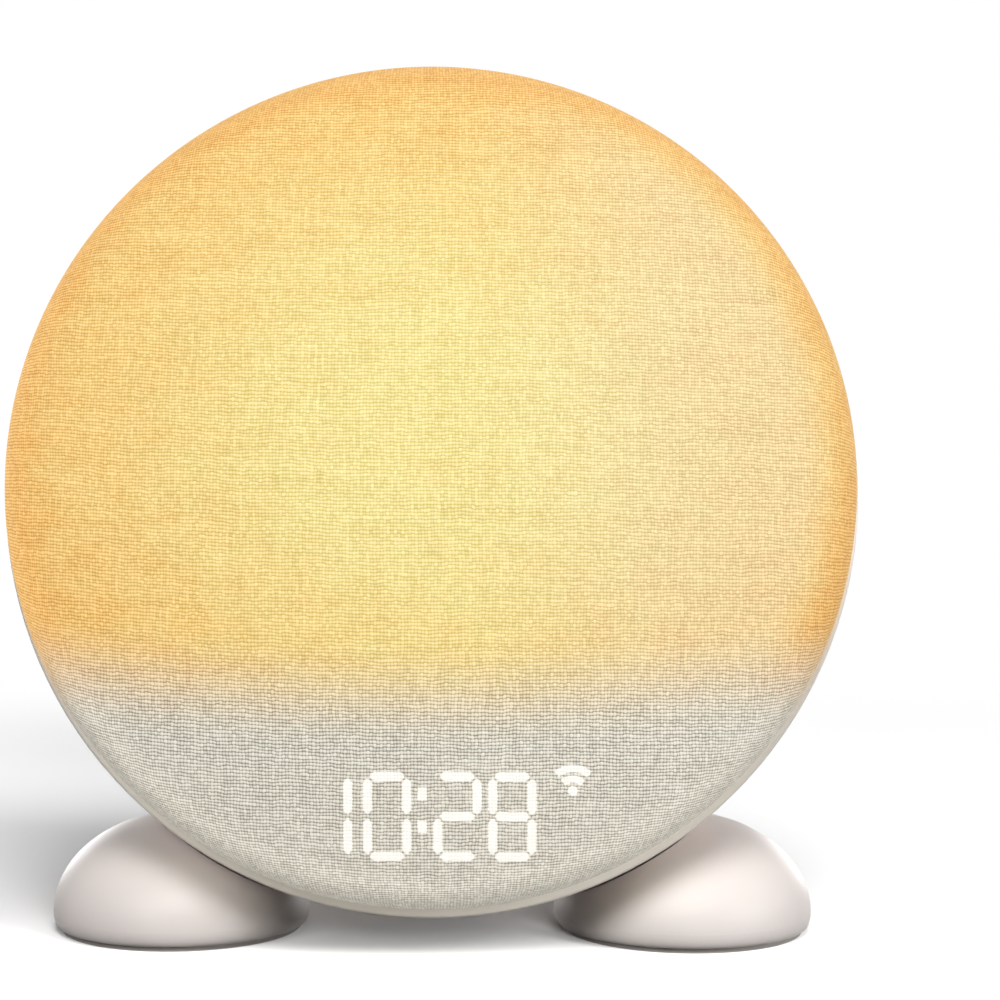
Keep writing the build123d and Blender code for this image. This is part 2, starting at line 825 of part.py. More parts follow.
inlet_inner = (inlet_width - 2 * inlet_wall, inlet_tall - 2 * inlet_wall)
with BuildPart() as inlet_tongue:
    tongue_width = inlet_inner[0] - tongue_side
    blocks([(0, inlet_height)], tongue_width, tongue_thickness, inlet_mouth + tongue_inset, inlet_base)
    with BuildSketch(level(inlet_base - tongue_root)):
        with Locations((0, inlet_height)):
            SlotOverall(inlet_inner[0] - face_gap, inlet_inner[1] - face_gap)
    extrude(amount=tongue_root)
save(inlet_tongue, "inlet_tongue")

with BuildPart() as inlet_board:
    blocks(
        [(0, inlet_height)],
        inlet_board_width,
        inlet_board_tall,
        inlet_board_back,
        inlet_board_back + board_thickness,
    )
    posts(
        inlet_post_places,
        screw_radius + shank_gap,
        inlet_board_back,
        inlet_board_back + board_thickness,
        Mode.SUBTRACT,
    )
save(inlet_board, "inlet_board")

# ==== speaker =================================================================================
gasket_back = panel_inner + seat_gap
basket_back = gasket_back + gasket_thickness + face_gap
neck_level = basket_back + basket_length
magnet_back = neck_level + face_gap
magnet_front = magnet_back + magnet_length
coil_back = magnet_back - coil_reach
coil_front = magnet_front - magnet_floor - cone_stroke - 2 * skin_gap
cone_back = coil_back - cone_depth
speaker_spin = Axis(body.from_local_coords(Vector(0, speaker_height, 0)), body.z_dir)
speaker_side = Plane(origin=speaker_spin.position, x_dir=(1, 0, 0), z_dir=side.z_dir)
speaker_place = [(0, speaker_height)]
coil_outer = coil_radius + coil_wall
gap_inner = coil_radius - coil_room
gap_outer = coil_outer + coil_room
plate_radius = magnet_radius - 1


def turned(*points):
    """Piece of revolution about the speaker's axis, from its half section."""
    with BuildSketch(speaker_side) as section:
        with BuildLine():
            Polyline(*points, close=True)
        make_face()
    revolve(section.sketch, axis=speaker_spin)


with BuildPart() as speaker_gasket:
    with BuildSketch(level(gasket_back)):
        with Locations(*speaker_place):
            Circle(basket_radius - seat_gap)
            Circle(basket_opening, mode=Mode.SUBTRACT)
        with Locations(*speaker_screw_places):
            Circle(screw_radius + shank_gap, mode=Mode.SUBTRACT)
    extrude(amount=gasket_thickness)
save(speaker_gasket, "speaker_gasket")

with BuildPart() as speaker_frame:
    turned(
        (basket_radius, basket_back),
        (basket_radius, basket_back + basket_wall),
        (basket_opening + basket_wall, basket_back + basket_wall),
        (magnet_radius, neck_level),
        (gap_outer, neck_level),
        (gap_outer, neck_level - basket_wall),
        (magnet_radius - basket_wall, neck_level - basket_wall),
        (basket_opening, basket_back + basket_wall),
        (basket_opening, basket_back),
    )
    with BuildSketch(level(basket_back + basket_window_rise)) as windows:
        with Locations(*speaker_place):
            with PolarLocations(magnet_radius + basket_window_rise, 4):
                Rectangle(*basket_window[:2])
    extrude(windows.sketch, amount=basket_window[2], mode=Mode.SUBTRACT)
    posts(
        speaker_screw_places,
        screw_radius + shank_gap,
        basket_back,
        basket_back + basket_wall,
        Mode.SUBTRACT,
    )
save(speaker_frame, "speaker_frame")

with BuildPart() as speaker_magnet:
    turned(
        (0, magnet_back),
        (gap_inner, magnet_back),
        (gap_inner, magnet_front - magnet_floor),
        (gap_outer, magnet_front - magnet_floor),
        (gap_outer, magnet_back),
        (plate_radius, magnet_back),
        (plate_radius, magnet_back + plate_thickness),
        (magnet_radius, magnet_back + plate_thickness),
        (magnet_radius, magnet_front - plate_thickness),
        (plate_radius, magnet_front - plate_thickness),
        (plate_radius, magnet_front),
        (0, magnet_front),
    )
save(speaker_magnet, "speaker_magnet")

with BuildPart() as voice_coil:
    with BuildSketch(level(coil_back)):
        with Locations(*speaker_place):
            Circle(coil_outer)
            Circle(coil_radius, mode=Mode.SUBTRACT)
    extrude(amount=coil_front - coil_back)
save(voice_coil, "voice_coil")

with BuildPart() as speaker_cone:
    turned(
        (coil_outer, coil_back + face_gap),
        (coil_outer + face_gap, coil_back + face_gap),
        (cone_radius, cone_back),
        (cone_radius, cone_back - paper),
        (coil_outer, coil_back - paper + face_gap),
    )
save(speaker_cone, "speaker_cone")

cap_round = (coil_radius**2 + cap_rise**2) / (2 * cap_rise)
cap_centre = (0, coil_back - seat_gap - cap_rise + cap_round)
cap_angle = degrees(asin(coil_radius / cap_round))
with BuildPart() as dust_cap:
    with BuildSketch(speaker_side) as shell:
        with BuildLine():
            outside = CenterArc(cap_centre, cap_round, -90, cap_angle)
            inside = CenterArc(cap_centre, cap_round - paper, -90, cap_angle)
            Line(outside @ 0, inside @ 0)
            Line(outside @ 1, inside @ 1)
        make_face()
    revolve(shell.sketch, axis=speaker_spin)
save(dust_cap, "dust_cap")

roll = (basket_opening - cone_radius) / 2 - 0.25
roll_centre = (basket_opening + cone_radius) / 2
with BuildPart() as speaker_surround:
    with BuildSketch(speaker_side):
        with Locations((roll_centre, cone_back - paper / 2)):
            Circle(roll)
            Circle(roll - paper / 2, mode=Mode.SUBTRACT)
        with Locations((roll_centre, cone_back - paper / 2 + roll / 2)):
            Rectangle(3 * roll, roll, mode=Mode.SUBTRACT)
    revolve(axis=speaker_spin)
save(speaker_surround, "speaker_surround")

spider_level = magnet_back - basket_wall - spider_drop
spider_inner = coil_outer + seat_gap
spider_outer = magnet_radius - basket_wall + 2 * seat_gap
spider_waves = 5
spider_line = [
    (
        spider_inner + (spider_outer - spider_inner) * step / spider_waves,
        spider_level + (paper if step % 2 else 0),
    )
    for step in range(spider_waves + 1)
]
with BuildPart() as speaker_spider:
    turned(*spider_line, *[(radius, height - paper / 2) for radius, height in reversed(spider_line)])
save(speaker_spider, "speaker_spider")

with BuildPart() as speaker_screws:
    screws(
        speaker_screw_places,
        basket_back + basket_wall + head_gap,
        basket_wall + gasket_thickness + speaker_screw_depth,
        screw_radius,
        *speaker_screw_head,
        forward=False,
    )
save(speaker_screws, "speaker_screws")

# ==== electronics =============================================================================
with BuildPart() as main_board:
    blocks(
        [(0, main_board_height)], main_board_width, main_board_tall, main_board_back, main_board_front
    )
    posts(main_board_places, screw_radius + shank_gap, main_board_back, main_board_front, Mode.SUBTRACT)
save(main_board, "main_board")

chip_sizes = (  # place, width, height on the board, thickness
    ((-14, 40), 12, 12, 1.4),
    ((12, 26), 7, 7, 1.1),
    ((-34, 34), 6, 5, 1.6),
    ((26, 30), 8, 6, 1.5),
)
with BuildPart() as board_chips:
    for place, width, tall, thickness in chip_sizes:
        blocks([place], width, tall, main_board_back - thickness, main_board_back)
save(board_chips, "board_chips")

module_place = (14, 47)
module_size = (18, 22)
module_board = 1.0
can_size = 15
can_height = 2.0
with BuildPart() as wireless_module:
    blocks([module_place], *module_size, main_board_back - module_board, main_board_back)
    can_place = (module_place[0], module_place[1] - module_size[1] / 2 + can_size / 2 + 1)
    can_back = main_board_back - module_board - can_height
    blocks([can_place], can_size, can_size, can_back, main_board_back - module_board)
save(wireless_module, "wireless_module")

capacitor_sizes = (((-32, 44), 4.0, 9), ((-22, 52), 4.0, 9), ((33, 44), 3.0, 7))  # place, radius, height
with BuildPart() as capacitors:
    for place, radius, height in capacitor_sizes:
        posts([place], radius, main_board_back - height, main_board_back)
save(capacitors, "capacitors")

speaker_plug = (30.0, 19.0)
inlet_plug = (-30.0, 19.0)
button_plug_side = -17.0
button_plug_height = 30.0
display_plug_tall = 2.6
display_plug_height = main_board_height - main_board_tall / 2 + display_plug_tall / 2 + face_gap
flex_back = frame_back - seat_gap - ribbon_thickness
low_plug_back = main_board_back - low_connector_height
with BuildPart() as connectors:
    blocks([speaker_plug, inlet_plug], 8, 5, plug_back, main_board_back)
    blocks([(button_plug_side, button_plug_height)], 14, 4, low_plug_back, main_board_back)
    blocks([(0, display_plug_height)], 14, display_plug_tall, main_board_front, flex_back - face_gap)
save(connectors, "connectors")

with BuildPart() as display_ribbon:
    lower = flex_slot_height - flex_slot[1] / 6
    upper = display_plug_height + display_plug_tall / 2
    flex_end = display_level - face_gap
    flex_side = Plane(origin=body.origin - body.x_dir * flex_width / 2, x_dir=body.y_dir, z_dir=(1, 0, 0))
    with BuildSketch(flex_side) as strip:
        with BuildLine():
            Polyline(
                (lower, flex_end),
                (lower, flex_back),
                (upper, flex_back),
                (upper, flex_back + ribbon_thickness),
                (lower + ribbon_thickness, flex_back + ribbon_thickness),
                (lower + ribbon_thickness, flex_end),
                close=True,
            )
        make_face()
    extrude(strip.sketch, amount=flex_width)
save(display_ribbon, "display_ribbon")

ribbon_front = low_plug_back - face_gap
ribbon_back = button_board_back + board_thickness + face_gap
ribbon_middle = (ribbon_front + ribbon_back) / 2
ribbon_bulge = 6.0
ribbon_end = 0.4
with BuildPart() as button_ribbon:
    ribbon_left = button_plug_side - flex_width / 2
    ribbon_side = Plane(origin=body.origin + body.x_dir * ribbon_left, x_dir=body.y_dir, z_dir=(1, 0, 0))
    inner = button_plug_height
    outer = button_plug_height + ribbon_end
    with BuildSketch(ribbon_side) as bent:
        with BuildLine():
            ThreePointArc((inner, ribbon_front), (inner - ribbon_bulge, ribbon_middle), (inner, ribbon_back))
            Line((inner, ribbon_back), (outer, ribbon_back))
            turn = inner - ribbon_bulge + ribbon_thickness
            ThreePointArc((outer, ribbon_back), (turn, ribbon_middle), (outer, ribbon_front))
            Line((outer, ribbon_front), (inner, ribbon_front))
        make_face()
    extrude(bent.sketch, amount=flex_width)
save(button_ribbon, "button_ribbon")


def lead_pair(points, bend, spread):
    """Two insulated wires side by side, along straight runs joined by arcs, in body places."""
    for way in (-0.5, 0.5):
        beside = Vector(way * spread[0], way * spread[1], 0)
        with BuildLine() as route:
            corners = [body.from_local_coords(Vector(*point) + beside) for point in points]
            FilletPolyline(*corners, radius=bend)
        with BuildSketch(Plane(origin=route.line @ 0, z_dir=route.line % 0)) as section:
            Circle(lead_radius)
        sweep(section.sketch, path=route.line)


lead_end = plug_back - face_gap
speaker_tab = (22.0, speaker_height + 14.0)
inlet_tab = (-3.0, inlet_height + 3.5)
lead_corner_low = (-34.0, -28.0)
lead_corner_high = (-34.0, 4.0)
with BuildPart() as speaker_leads:
    lead_pair(
        [
            (*speaker_tab, basket_back + basket_wall + face_gap),
            (*speaker_tab, lead_level),
            (*speaker_plug, lead_level),
            (*speaker_plug, lead_end),
        ],
        bend=2.5,
        spread=(2.2, 0),
    )
save(speaker_leads, "speaker_leads")

with BuildPart() as inlet_leads:
    lead_pair(
        [
            (*inlet_tab, inlet_board_back + board_thickness + face_gap),
            (*inlet_tab, lead_level),
            (*lead_corner_low, lead_level),
            (*lead_corner_high, lead_level),
            (*inlet_plug, lead_level),
            (*inlet_plug, lead_end),
        ],
        bend=2.0,
        spread=(2.2, 1.6),
    )
save(inlet_leads, "inlet_leads")

# ==== screws ==================================================================================
with BuildPart() as front_screws:
    screws(
        boss_places,
        frame_back - head_gap,
        frame_thickness + boss_depth,
        screw_radius,
        screw_head_radius,
        screw_head_height,
    )
save(front_screws, "front_screws")

with BuildPart() as housing_screws:
    screws(
        housing_places,
        housing_seat - head_gap,
        frame_level - housing_seat - seat_gap,
        screw_radius,
        screw_head_radius,
        screw_head_height,
    )
save(housing_screws, "housing_screws")

with BuildPart() as board_screws:
    board_screw_size = (screw_radius, screw_head_radius, screw_head_height)
    led_screw_length = led_board_front - frame_back - seat_gap
    screws(led_screw_places, led_board_front + head_gap, led_screw_length, *board_screw_size, forward=False)
    display_seat = display_board_front + head_gap
    screws(display_post_places, display_seat, display_screw_length, *board_screw_size, forward=False)
    screws(main_board_places, main_board_back - head_gap, board_screw_length, *board_screw_size)
    for places, back in ((button_post_places, button_board_back), (inlet_post_places, inlet_board_back)):
        seat = back + board_thickness + head_gap
        screws(places, seat, board_screw_length, *board_screw_size, forward=False)
save(board_screws, "board_screws")

# ==== feet ====================================================================================


def foot_form(inset, low, top_inset):
    """Domed oval standing on a level, about the origin, with its long axis along Y."""
    across = foot_across - inset
    with BuildPart() as form:
        with BuildSketch(Plane.XZ):
            with BuildLine():
                EllipticalCenterArc(
                    (0, dome_waist),
                    across,
                    foot_dome - top_inset,
                    start_angle=0,
                    arc_size=90,
                )
                if inset:
                    Line((across, dome_waist), (across, low))
                    Line((across, low), (0, low))
                else:
                    EllipticalCenterArc(
                        (across - foot_tuck, dome_waist),
                        foot_tuck,
                        dome_waist - low,
                        start_angle=270,
                        arc_size=90,
                    )
                    Line((across - foot_tuck, low), (0, low))
                Line((0, low), (0, dome_waist + foot_dome - top_inset))
            make_face()
        revolve(axis=Axis.Z)
        scale(by=(1, (foot_along - inset) / across, 1))
    return form.part


foot_plane = Plane(origin=(foot_centre, foot_y, 0))
foot_spots = foot_screw_places(1)

with BuildPart() as foot_hollow:
    add(foot_plane.location * foot_form(foot_wall, pad_thickness, foot_wall))
    add(envelope(body_gap + foot_wall), mode=Mode.SUBTRACT)

with BuildPart() as foot_posts:
    with BuildSketch(Plane.XY.offset(foot_screw_seat)):
        with Locations(*foot_spots):
            Circle(foot_post_radius)
    extrude(amount=foot_dome)
    add(foot_plane.location * foot_form(0, pad_thickness, 0), mode=Mode.INTERSECT)

with BuildPart() as foot_right:
    add(foot_plane.location * foot_form(0, pad_thickness, 0))
    add(foot_hollow.part, mode=Mode.SUBTRACT)
    add(foot_posts.part)
    add(envelope(body_gap), mode=Mode.SUBTRACT)
    with BuildSketch(Plane.XY.offset(foot_screw_seat)) as foot_holes:
        with Locations(*foot_spots):
            Circle(foot_screw_radius + shank_gap)
    extrude(foot_holes.sketch, amount=foot_dome + foot_waist, mode=Mode.SUBTRACT)
save(foot_right, "foot_right")

with BuildPart() as foot_base_right:
    with BuildSketch(foot_plane.offset(pad_thickness)):
        Ellipse(foot_across - foot_wall - skin_gap, foot_along - foot_wall - skin_gap)
    extrude(amount=foot_base_thickness)
save(foot_base_right, "foot_base_right")

with BuildPart() as foot_pad_right:
    with BuildSketch(foot_plane):
        Ellipse(foot_across - pad_inset, foot_along - pad_inset)
    extrude(amount=pad_thickness)
save(foot_pad_right, "foot_pad_right")

for name, right in (("foot", foot_right), ("foot_base", foot_base_right), ("foot_pad", foot_pad_right)):
    with BuildPart() as left:
        add(right.part)
        mirror(about=Plane.YZ, mode=Mode.REPLACE)
    save(left, f"{name}_left")

with BuildPart() as foot_screws:
    head_top = foot_screw_seat - head_gap
    head_low = head_top - screw_head_height
    with BuildSketch(Plane.XY.offset(head_low)) as heads:
        with Locations(*all_foot_screw_places):
            Circle(screw_head_radius)
    extrude(heads.sketch, amount=screw_head_height)
    with BuildSketch(Plane.XY.offset(head_top)) as shanks:
        with Locations(*all_foot_screw_places):
            Circle(foot_screw_radius)
    extrude(shanks.sketch, amount=foot_screw_length)
save(foot_screws, "foot_screws")
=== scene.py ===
"""Bedside sunrise clock: woven cover, finishes, key marks and stage around the clock's frame.

Metres throughout. "Body" coordinates are x across, y up the leaning disc and z forward along
its axis, from the middle of the cover's front edge.
"""

import json
from math import acos, asin, cos, pi, radians, sin, sqrt

import bmesh
import bpy
from bpy.props import FloatProperty, FloatVectorProperty, IntProperty, PointerProperty
from mathutils import Matrix, Vector


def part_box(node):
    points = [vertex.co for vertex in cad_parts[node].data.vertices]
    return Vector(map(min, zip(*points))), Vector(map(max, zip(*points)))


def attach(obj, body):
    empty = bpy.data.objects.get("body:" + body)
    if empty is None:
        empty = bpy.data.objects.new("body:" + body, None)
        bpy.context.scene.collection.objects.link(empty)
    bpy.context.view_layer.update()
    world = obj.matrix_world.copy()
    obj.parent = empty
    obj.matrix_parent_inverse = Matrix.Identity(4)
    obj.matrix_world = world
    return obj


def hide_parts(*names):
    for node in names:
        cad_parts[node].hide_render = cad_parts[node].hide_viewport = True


bl_info = {
    "name": "Sunrise Clock Finish",
    "version": (1, 0, 0),
    "blender": (4, 5, 0),
    "location": "3D View > Sidebar > Clock",
    "description": "Woven cover, finishes, key marks and stage of a bedside sunrise clock",
    "category": "Object",
}

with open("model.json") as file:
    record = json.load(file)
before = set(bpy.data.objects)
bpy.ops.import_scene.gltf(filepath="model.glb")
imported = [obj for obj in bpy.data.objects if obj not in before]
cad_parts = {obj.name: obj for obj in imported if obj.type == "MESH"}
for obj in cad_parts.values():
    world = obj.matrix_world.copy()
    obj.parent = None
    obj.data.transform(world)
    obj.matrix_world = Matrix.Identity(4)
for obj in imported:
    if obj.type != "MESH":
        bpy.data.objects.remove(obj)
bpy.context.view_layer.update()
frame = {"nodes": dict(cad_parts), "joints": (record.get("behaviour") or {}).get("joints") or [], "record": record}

MM = 0.001
ACROSS = Vector((1, 0, 0))
FORWARD = Vector(frame["joints"][0]["axis"])
UP = FORWARD.cross(ACROSS)
CLAMP_HALF = 0.65 * MM  # half the clamp ring's depth: its front is where body z is 0
CLAMP_LOW, CLAMP_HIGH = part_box("fabric_clamp_ring")
CENTRE = (CLAMP_LOW + CLAMP_HIGH) / 2 + FORWARD * CLAMP_HALF
TURN = Matrix((ACROSS, UP, FORWARD)).transposed()
BODY = Matrix.Translation(CENTRE) @ TURN.to_4x4()
SLOT_OF = {part["node"]: part["material_slot"] for part in frame["record"]["subparts"]}
WHITE = (1, 1, 1, 1)
WEAVE_MAP = "weave"
BAKE_MAP = "OFBake"


def half_width(node):
    """Half of a node's width across the clock."""
    low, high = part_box(node)
    return (high.x - low.x) / 2


def tone(red, green, blue):
    """Linear colour of a display colour with channels from 0 to 255."""
    shares = [channel / 255 for channel in (red, green, blue)]
    return [s / 12.92 if s <= 0.04045 else ((s + 0.055) / 1.055) ** 2.4 for s in shares]


def opaque(linear):
    """A colour with its alpha channel."""
    return (*linear, 1.0)


def scaled(linear, factor):
    """A colour made darker or lighter, in its linear channels."""
    return [min(1.0, channel * factor) for channel in linear]


# ==== node trees ===============================================================================


def operator(operation, swapped=False):
    """A Wire operator that adds the Math node of that operation."""

    def apply(self, other):
        pair = (other, self) if swapped else (self, other)
        return self.tree.math(operation, *pair)

    return apply


class Wire:
    """A node's output, which can be written into arithmetic."""

    def __init__(self, tree, socket):
        self.tree = tree
        self.socket = socket

    __add__ = __radd__ = operator("ADD")
    __mul__ = __rmul__ = operator("MULTIPLY")
    __sub__ = operator("SUBTRACT")
    __rsub__ = operator("SUBTRACT", swapped=True)
    __truediv__ = operator("DIVIDE")
    __mod__ = operator("FLOORED_MODULO")
    __gt__ = operator("GREATER_THAN")


class Tree:
    """Adds nodes to a node tree."""

    def __init__(self, nodes):
        self.nodes = nodes
        nodes.nodes.clear()

    def add(self, kind, settings=None, sockets=None, output=0):
        """Adds a node, makes its settings and then fills its sockets with values or wires."""
        node = self.nodes.nodes.new(kind)
        for name, value in (settings or {}).items():
            setattr(node, name, value)
        for name, value in (sockets or {}).items():
            if isinstance(value, Wire):
                self.nodes.links.new(value.socket, node.inputs[name])
            else:
                node.inputs[name].default_value = value
        return Wire(self, node.outputs[output]) if len(node.outputs) else None

    def math(self, operation, *values):
        return self.add("ShaderNodeMath", {"operation": operation}, dict(enumerate(values)))

    def vector(self, operation, *values):
        return self.add("ShaderNodeVectorMath", {"operation": operation}, dict(enumerate(values)))

    def largest(self, first, *others):
        for other in others:
            first = self.math("MAXIMUM", first, other)
        return first

    def smallest(self, first, *others):
        for other in others:
            first = self.math("MINIMUM", first, other)
        return first

    def size(self, value):
        return self.math("ABSOLUTE", value)

    def length(self, x, y):
        return self.math("SQRT", x * x + y * y)

    def join(self, x, y, z=0.0):
        return self.add("ShaderNodeCombineXYZ", None, {"X": x, "Y": y, "Z": z})

    def split(self, vector):
        node = {"Vector": vector}
        return [self.add("ShaderNodeSeparateXYZ", None, node, output=name) for name in "XYZ"]

    def rise(self, value, low, high):
        """From 0 at low to 1 at high, smoothly."""
        ends = {"Value": value, "From Min": low, "From Max": high}
        return self.add("ShaderNodeMapRange", {"interpolation_type": "SMOOTHSTEP"}, ends)

    def blend(self, factor, first, second):
        """Mix of two colours, each a wire or linear channels."""
        pair = [c if isinstance(c, Wire) else opaque(c) for c in (first, second)]
        sockets = {0: factor, 6: pair[0], 7: pair[1]}
        return self.add("ShaderNodeMix", {"data_type": "RGBA"}, sockets, output=2)

    def times(self, tint, factor):
        """A colour made brighter or darker by a number that varies."""
        sockets = {0: tint, "Scale": factor}
        return self.add("ShaderNodeVectorMath", {"operation": "SCALE"}, sockets)

    def noise(self, place, size, detail=0.0, roughness=0.5, output="Fac"):
        """Noise with features of a size in metres."""
        sockets = {"Vector": place, "Scale": 1 / size, "Detail": detail, "Roughness": roughness}
        return self.add("ShaderNodeTexNoise", None, sockets, output=output)


def start_material(name):
    """A new material and its tree."""
    material = bpy.data.materials.new(name)
    material.use_nodes = True
    return material, Tree(material.node_tree)


def close_material(tree, sockets):
    """Ends a material in one Principled shader."""
    shader = tree.add("ShaderNodeBsdfPrincipled", None, sockets)
    tree.add("ShaderNodeOutputMaterial", None, {"Surface": shader})


def object_place(tree):
    return tree.add("ShaderNodeTexCoord", output="Object")


def body_place(tree):
    """Place in body coordinates."""
    settings = {"vector_type": "TEXTURE"}
    sockets = {"Vector": object_place(tree), "Location": CENTRE, "Rotation": TURN.to_euler()}
    return tree.add("ShaderNodeMapping", settings, sockets)


# ==== sizes and colours a user may change ======================================================


def metres(label, about, value):
    """A length property."""
    return FloatProperty(name=label, description=about, default=value, unit="LENGTH", precision=5)


def share(label, about, value, low=0.0, high=1.0):
    """A plain number property."""
    return FloatProperty(name=label, description=about, default=value, min=low, max=high)


def colour(label, about, value):
    """A colour property, given by its display channels."""
    linear = tone(*value)
    return FloatVectorProperty(
        name=label, description=about, default=linear, subtype="COLOR", size=3, min=0.0, max=1.0
    )


def angle(label, about, degrees):
    """An angle property, given in degrees."""
    return FloatProperty(name=label, description=about, default=radians(degrees), subtype="ANGLE")


def count(label, about, value, least):
    """A whole number property."""
    return IntProperty(name=label, description=about, default=value, min=least)


class ClockCover(bpy.types.PropertyGroup):
    """Shape and weave of the cover."""

    radius: metres("Radius", "Outside of the straight side", half_width("fabric_cover"))
    side: metres("Side", "Straight part of the side", 9 * MM)
    low: metres("Seat", "Gap behind the hem", 0.2 * MM)
    shoulder: metres("Shoulder", "Radius between side and crown", 16 * MM)
    crown: metres("Crown", "Radius of the bulging front", 280 * MM)
    corner: metres("Corner", "Radius of the fold at the hem", 0.8 * MM)
    hem: metres("Hem", "Width turned in behind", 5.7 * MM)
    thickness: metres("Thickness", "Of the cloth", 0.8 * MM)
    rings: count("Rings", "Rows of faces from crown to hem", 128, 16)
    spokes: count("Spokes", "Faces round the cover", 296, 24)
    warp: metres("Warp pitch", "Between the upright threads", 0.67 * MM)
    weft: metres("Weft pitch", "Between the cross threads", 0.7 * MM)
    warp_fill: share("Warp fill", "Thickness of an upright thread in its pitch", 0.8)
    weft_fill: share("Weft fill", "Thickness of a cross thread in its pitch", 0.78)
    warp_depth: share("Warp depth", "Height of an upright thread against a cross thread", 0.62)
    crimp: share("Crimp", "How far threads rise over each other", 0.42)
    slub: share("Slub", "How much a thread's thickness changes", 0.4)
    uneven: share("Unevenness", "How unlike in height two crossings are", 0.34)
    droop: share("Droop", "Slope of the rows at the left edge", 0.14)
    # Painted shade: the cloth's colour runs from the gap colour between the threads to the thread colour on top,
    # which paints the gaps' shade into the colour.
    thread: colour("Thread", "Top of a thread", (241, 236, 222))
    gap: colour("Gap", "Between the threads", (145, 136, 120))
    # Painted light: below the glow a share of the cloth's look is given out as emission in place of lamp light,
    # with more of it at the lower edge.
    painted_light_share: share("Leak", "Share of the look that inner light gives below the glow", 0.36)
    edge_painted_light: share("Edge leak", "What the lower edge gets besides", 0.64)


class ClockGlow(bpy.types.PropertyGroup):
    """The sunrise light behind the cover."""

    edge: metres("Lower edge", "Middle of the soft lower edge, on the disc", -46.5 * MM)
    sag: metres("Sag", "How much lower the edge's middle is than its ends", 8 * MM)
    blur: metres("Blur", "Half the soft edge", 11 * MM)
    # The glow's colours below feed the base colour as well as the emission, so the glow is also painted light in
    # the base colour.
    thread: colour("Thread", "Top of a thread in the middle", (253, 236, 172))
    gap: colour("Gap", "Between the threads in the middle", (218, 200, 96))
    rim_thread: colour("Rim thread", "Top of a thread at the rim", (255, 207, 127))
    rim_gap: colour("Rim gap", "Between the threads at the rim", (212, 140, 42))
    # Painted sheen: the glow is paler towards the right, standing in for the sheen of the light from the right.
    painted_sheen: colour("Pale side", "What the threads at the right pass through more", (248, 231, 196))
    given: share("Given light", "Share of the look that the cloth gives out itself", 0.6)
    edge_given: share("Edge light", "What the edge of the cloth gives out besides", 0.12)


class ClockDisplay(bpy.types.PropertyGroup):
    """Digits and icon that shine through the cover."""

    height: metres("Height", "Middle of the digits on the disc", -70.2 * MM)
    width: metres("Digit width", "Outside of a digit", 9.5 * MM)
    tall: metres("Digit height", "Outside of a digit", 17.2 * MM)
    bar: metres("Bar", "Width of a segment", 1.8 * MM)
    tips: metres("Tips", "Between two segments in line", 0.9 * MM)
    end: metres("End", "Half the width that is left at a segment's end", 0.15 * MM)
    space: metres("Space", "Between two digits", 1.25 * MM)
    colon: metres("Colon", "Place of the colon across the disc", -1.0 * MM)
    colon_rise: metres("Colon rise", "Of its middle over the digits' middle", 1.2 * MM)
    colon_spread: metres("Colon spread", "Of each dot from the colon's middle", 3.2 * MM)
    colon_tall: metres("Colon dots", "Height of a dot", 2.4 * MM)
    one_space: metres("One space", "Between the narrow first digit and the second", 2.1 * MM)
    icon_space: metres("Icon space", "Between the last digit and the icon", 3.5 * MM)
    icon_rise: metres("Icon rise", "Of the arcs' centre over the digits' middle", 4.1 * MM)
    icon_small: metres("Small arc", "Radius", 3.2 * MM)
    icon_large: metres("Large arc", "Radius", 5.25 * MM)
    icon_line: metres("Icon line", "Width of the arcs", 1.4 * MM)
    icon_dot: metres("Icon dot", "Radius", 0.95 * MM)
    icon_fan: angle("Icon fan", "Reach of the arcs to each side", 38)
    soft: metres("Softness", "Half the soft edge of the marks", 0.2 * MM)
    gap: share("Light in gaps", "Strength of the marks between the threads", 0.68)
    thread: share("Light on threads", "Strength of the marks on top of a thread", 0.3)
    colour: colour("Light", "Colour of the marks", (255, 254, 255))


class ClockMarks(bpy.types.PropertyGroup):
    """Raised marks on the rear keys."""

    size: metres("Size", "Height of a mark", 5.2 * MM)
    line: metres("Line", "Width of a stroke", 0.9 * MM)
    rise: metres("Rise", "Over the key", 0.25 * MM)
    rays: count("Rays", "Of the sun", 8, 3)
    shade: colour("Colour", "Of the marks", (122, 114, 108))


class ClockStage(bpy.types.PropertyGroup):
    """Camera and lamps."""

    camera_height: metres("Camera height", "Above the floor", 100 * MM)
    camera_distance: metres("Camera distance", "From the disc's centre", 534.3 * MM)
    camera_turn: angle("Camera turn", "To the right of the clock's front", 1)
    lens: share("Lens", "Focal length in millimetres", 91.19, 10, 300)
    shift_across: share("Shift across", "Of the picture, in its widths", 0.0693, -1, 1)
    shift_down: share("Shift down", "Of the picture, in its widths", -0.0375, -1, 1)
    sky: share("Sky", "Strength of the light from all round", 0.04, 0, 5)
    key: share("Key", "Power of the high lamp in front", 8.5, 0, 100)
    fill: share("Fill", "Power of the lamp at the left", 4.0, 0, 100)
    side: share("Side", "Power of the low lamp beside the clock", 5.0, 0, 100)
    rear: share("Rear", "Power of the lamps behind, which light only the clock", 4.0, 0, 100)
    front: share("Front", "Power of the low lamp that lights only the disc", 4.2, 0, 100)
    floor_side: share("Floor side", "Level that light from the right gives the floor", 0.32, 0, 5)
    floor_front: share("Floor front", "Level that low light from the front gives it", 0.22, 0, 5)
    floor_top: share("Floor top", "Level that light from above gives it", 0.14, 0, 5)
    floor: colour("Floor", "Colour of the floor", (250, 250, 250))
    bounce: share("Bounce", "Share of its light that the floor gives back to the clock", 0.04)


GROUPS = {
    "clock_cover": ClockCover,
    "clock_glow": ClockGlow,
    "clock_display": ClockDisplay,
    "clock_marks": ClockMarks,
    "clock_stage": ClockStage,
}


# ==== woven cover ==============================================================================


